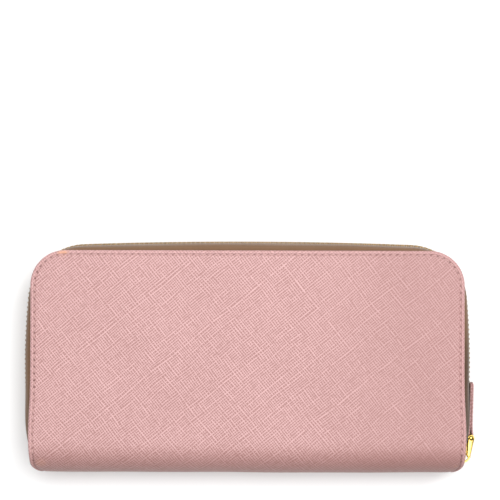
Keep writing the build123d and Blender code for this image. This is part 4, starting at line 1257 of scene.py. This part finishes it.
def make_coin_wall(half):
    """Soft pocket wall in lining cloth: slightly bellied between its seams, hemmed along the top."""
    x, y, side = panel_grid(COIN_HALF, COIN_BOTTOM, COIN_TOP, 5.0)
    to_top, to_side, to_bottom = COIN_TOP - y, side[:, None] - np.abs(x), y - COIN_BOTTOM
    to_edge = np.minimum(np.minimum(to_top, to_side), to_bottom)
    belly = 0.55 * np.clip(to_edge / 26, 0, 1) ** 0.6
    ripple = 0.10 * np.sin(x / 8.5 + 0.9 * np.sin(y / 11)) * np.clip(to_edge / 8, 0, 1)
    seam = 0.10 * bell(to_edge - 0.7, 0.5) - 0.10 * bell(to_edge - 1.8, 0.4) - 0.25 * np.exp(-to_edge / 0.2)
    inner_z, outer_z = wall_high[2], wall_low[2] + 0.12
    outside = np.stack([x, y, outer_z - belly - ripple - seam], -1)
    inside = np.stack([x, y, inner_z - 0.05 - 0.8 * (belly + ripple)], -1)
    piece = shell(f"coin_wall_{half}", upside(outside, half), upside(inside, half), lining, np.stack([x, y], -1),
                  {"seam": bell(to_edge - 1.8, 0.35)})
    finish_piece(piece, "coin_pocket", "lining", f"coin_wall_{half}")


def make_coin_side_strip():
    """Strip that joins the walls round the pocket's ends and bottom, folded outwards at the middle, and the two
    flanges that the gussets' ridges are sewn to."""
    corner = 3.0
    top = strip_high[1]
    arc = np.linspace(0, pi / 2, 9)
    cx, cy = COIN_HALF - 0.3 - corner, COIN_BOTTOM + 0.3 + corner
    right = [(cx + corner, top), (cx + corner, cy)]
    right += [(cx + corner * cos(a), cy - corner * sin(a)) for a in arc[1:]]
    path = even_path(right + [(-x, y) for x, y in right[::-1]], 1.6)
    share = np.linspace(0, 1, 9)
    z = strip_low[2] + 0.1 + (strip_high[2] - strip_low[2] - 0.2) * share
    tangent = unit(np.gradient(path, axis=0))
    outwards = np.stack([-tangent[:, 1], tangent[:, 0]], 1)
    grid = np.empty((len(path), 9, 3))
    grid[..., :2] = path[:, None, :] + 0.25 * outwards[:, None, :] * np.sin(pi * share)[None, :, None]
    grid[..., 2] = z
    outside, inside = thickened(grid, 0.2)
    parts = [shell_arrays(outside, inside)]
    flats = [np.tile(grid_lengths(grid).reshape(-1, 2), (2, 1))]
    flange_bottom = COIN_BOTTOM + 6.0
    for side in (-1, 1):
        x = np.concatenate([np.linspace(COIN_HALF, strip_high[0] - 0.9, 9), strip_high[0] - np.array([0.5, 0.2, 0])])
        y = np.linspace(flange_bottom, top, 34)
        fx, fy = np.meshgrid(side * x, y)
        half_t = 0.24 - 0.10 * np.exp(-(strip_high[0] - np.abs(fx)) / 0.2)
        wave = 0.10 * np.sin(fy / 9) * np.clip((np.abs(fx) - COIN_HALF) / 9, 0, 1)
        parts.append(shell_arrays(np.stack([fx, fy, MIDDLE + wave + half_t], -1),
                                  np.stack([fx, fy, MIDDLE + wave - half_t], -1)))
        flats.append(np.tile(np.stack([fx, fy], -1).reshape(-1, 2), (2, 1)))
    piece = joined("coin_side_strip", parts, lining, uv=np.concatenate(flats))
    finish_piece(piece, "coin_pocket", "lining", "coin_side_strip")


def make_coin_zip_tape(half):
    """Narrow zip tape: flat where it is sewn inside the wall, then turned over to face the other tape."""
    low, high = node_box("coin_zip_tape_front")
    turn = np.linspace(0, pi / 2, 7)
    r = 1.3
    bottom, face = low[2] + 0.17, high[1] - 0.17
    rise = [(y, bottom) for y in np.linspace(low[1], face - r, 7)]
    rise += [(face - r + r * sin(a), bottom + r - r * cos(a)) for a in turn[1:]]
    rise.append((face, high[2]))
    section = even_path(rise, 0.45)
    x = np.linspace(low[0], high[0], 120)
    grid = np.empty((len(x), len(section), 3))
    grid[..., 0] = x[:, None]
    grid[..., 1:] = section[None]
    outside, inside = thickened(grid, 0.16)
    piece = shell(f"coin_zip_tape_{half}", upside(outside, half), upside(inside, half), tape, grid_lengths(grid))
    finish_piece(piece, "coin_pocket", "zip_tape", f"coin_zip_tape_{half}")


coin_slider_low, coin_slider_high = node_box("coin_slider_body")
COIN_SLIDER_X = (coin_slider_low[0] + coin_slider_high[0]) / 2
COIN_SLIDER_FACE, COIN_SLIDER_LENGTH, COIN_DIAMOND = 1.5, 7.0, 2.2
COIN_TOOTH_W, COIN_TOOTH_LEG = 1.4, 1.35
coin_slider_point = np.array([COIN_SLIDER_X, COIN_ZIP_Y, MIDDLE])


def make_coin_zip():
    """Teeth and stops of the pocket's zip, in two rows that meet on a straight line."""
    right = COIN_SLIDER_X + COIN_SLIDER_LENGTH / 2 - COIN_DIAMOND - STOP_GAP
    left = 5.0 - COIN_HALF
    count = int((right - left - 2 * ROW_MARGIN) / TOOTH_PITCH)
    first = left + (right - left - count * TOOTH_PITCH) / 2
    one, faces = tooth_shape(TOOTH_LENGTH, COIN_TOOTH_W, COIN_TOOTH_LEG, 0.4)
    parts = []
    for half, shift in (("front", -TOOTH_PITCH / 4), ("back", TOOTH_PITCH / 4)):
        for k in range(count + 1):
            parts.append((upside(one + (first + shift + k * TOOTH_PITCH, COIN_ZIP_Y, MIDDLE), half), faces))
    finish_piece(joined("coin_zip_teeth", parts, zip_brass), "coin_pocket", "zip_metal", "coin_zip_teeth")
    parts = []
    for half in ("front", "back"):
        beyond = STOP_GAP + STOP_LENGTH / 2
        for x, edge in ((right + beyond, 0.6), (left - beyond, 0.05)):
            stop, faces = tooth_shape(STOP_LENGTH, COIN_TOOTH_W, COIN_TOOTH_LEG, -edge)
            parts.append((upside(stop + (x, COIN_ZIP_Y, MIDDLE), half), faces))
    finish_piece(joined("coin_zip_stops", parts, zip_brass), "coin_pocket", "zip_metal", "coin_zip_stops")
    place = (coin_slider_point, (1, 0, 0))
    half_h = (coin_slider_high[2] - coin_slider_low[2]) / 2
    parts = slider_pieces(place, COIN_SLIDER_LENGTH, COIN_SLIDER_FACE, 0.7, half_h, 0.35, 0.6, 0.0, 0.9,
                          COIN_DIAMOND, 0.45)
    finish_piece(joined("coin_slider_body", parts, gold), "coin_slider", "gold_metal", "coin_slider_body")
    make_crown("coin_slider_bail", "coin_slider", place, 2.6, 1.4, 1.6, COIN_SLIDER_FACE, 0.6, 0.22, 0.25, 1.2,
               0.42)


def make_coin_pull():
    """Flat pull with a window for the crown: a plate whose rings close from its outline to the window, and the
    bar."""
    lean = radians(180 - 4)
    direction = (cos(lean), sin(lean), 0)
    bar = coin_slider_point + (0.6, COIN_SLIDER_FACE + 0.25 + 0.35, 0)
    turn = np.linspace(0, tau, 56, endpoint=False)
    cx, sx = np.cos(turn), np.sin(turn)
    outline = np.stack([4.8 + 5.2 * power(cx, 0.42), 2.0 * power(sx, 0.5)], 1)
    window = np.stack([2.35 + 2.45 * power(cx, 0.35), 1.2 * power(sx, 0.35)], 1)
    bevelled = outline * (0.985, 0.95) + (0.07, 0)
    levels = ((bevelled, -0.28), (outline, -0.12), (outline, 0.12), (bevelled, 0.28),
              (window, 0.28), (window, -0.28))
    rings = np.array([np.column_stack([line, np.full(56, z)]) for line, z in levels])
    index = np.arange(6 * 56).reshape(6, 56)
    wrap = np.concatenate([index, index[:, :1]], 1)
    faces = quads(np.concatenate([wrap, wrap[:1]]))
    plate = rings.reshape(-1, 3)[:, [0, 2, 1]], faces.tolist()
    rod = turned_shape([(0.25, -1.98), (0.35, -1.85), (0.35, 1.85), (0.25, 1.98)], 16)
    parts = [placed(part, bar, direction) for part in (plate, rod)]
    finish_piece(joined("coin_pull", parts, gold), "coin_pull", "gold_metal", "coin_pull")


for half in ("front", "back"):
    make_coin_wall(half)
    make_coin_zip_tape(half)
make_coin_side_strip()
make_coin_zip()
make_coin_pull()

# ---------------------------------------------------------------- floor, light and camera


def make_floor():
    """Plain pale floor: a wide grid, level under the wallet."""
    x, y = np.meshgrid(np.linspace(-2500, 2500, 9), np.linspace(-2500, 2500, 9), indexing="ij")
    z = np.full_like(x, -0.02)
    made, _, shader = material("floor_white", 0.7, specular=0.2)
    shader["Base Color"].default_value = (0.95, 0.95, 0.95, 1.0)
    return shell("floor", np.stack([x, y, z], -1), np.stack([x, y, z - 5], -1), made)


make_floor()


def add_light(name, place, size, power, colour=(1.0, 1.0, 1.0)):
    """Soft square light aimed at the wallet's middle. Place and size are in metres."""
    light = bpy.data.lights.new(name, "AREA")
    light.size, light.energy, light.color = size, power, colour
    lamp = bpy.data.objects.new(name, light)
    lamp.location = place
    lamp.rotation_euler = (Vector((0, 0, 0.012)) - lamp.location).to_track_quat("-Z", "Y").to_euler()
    bpy.context.scene.collection.objects.link(lamp)


add_light("overhead_light", (0.10, 0.25, 1.30), 1.5, 24.5)
add_light("key_light", (0.70, 0.65, 0.95), 0.7, 5.5)

scene = bpy.context.scene
scene.world = scene.world or bpy.data.worlds.new("studio")
scene.world.use_nodes = True
background = scene.world.node_tree.nodes["Background"].inputs
background["Color"].default_value = (1.0, 1.0, 1.0, 1.0)
background["Strength"].default_value = 0.30
scene.view_settings.view_transform = "Standard"

camera = bpy.data.cameras.new("camera")
camera.lens, camera.sensor_width, camera.clip_start = 130.5, 36.0, 0.01
camera_object = bpy.data.objects.new("camera", camera)
camera_object.location = (0.00103, 0.04969, 0.825)
camera_object.rotation_euler = (0, 0, radians(0.15))
scene.collection.objects.link(camera_object)
scene.camera = camera_object
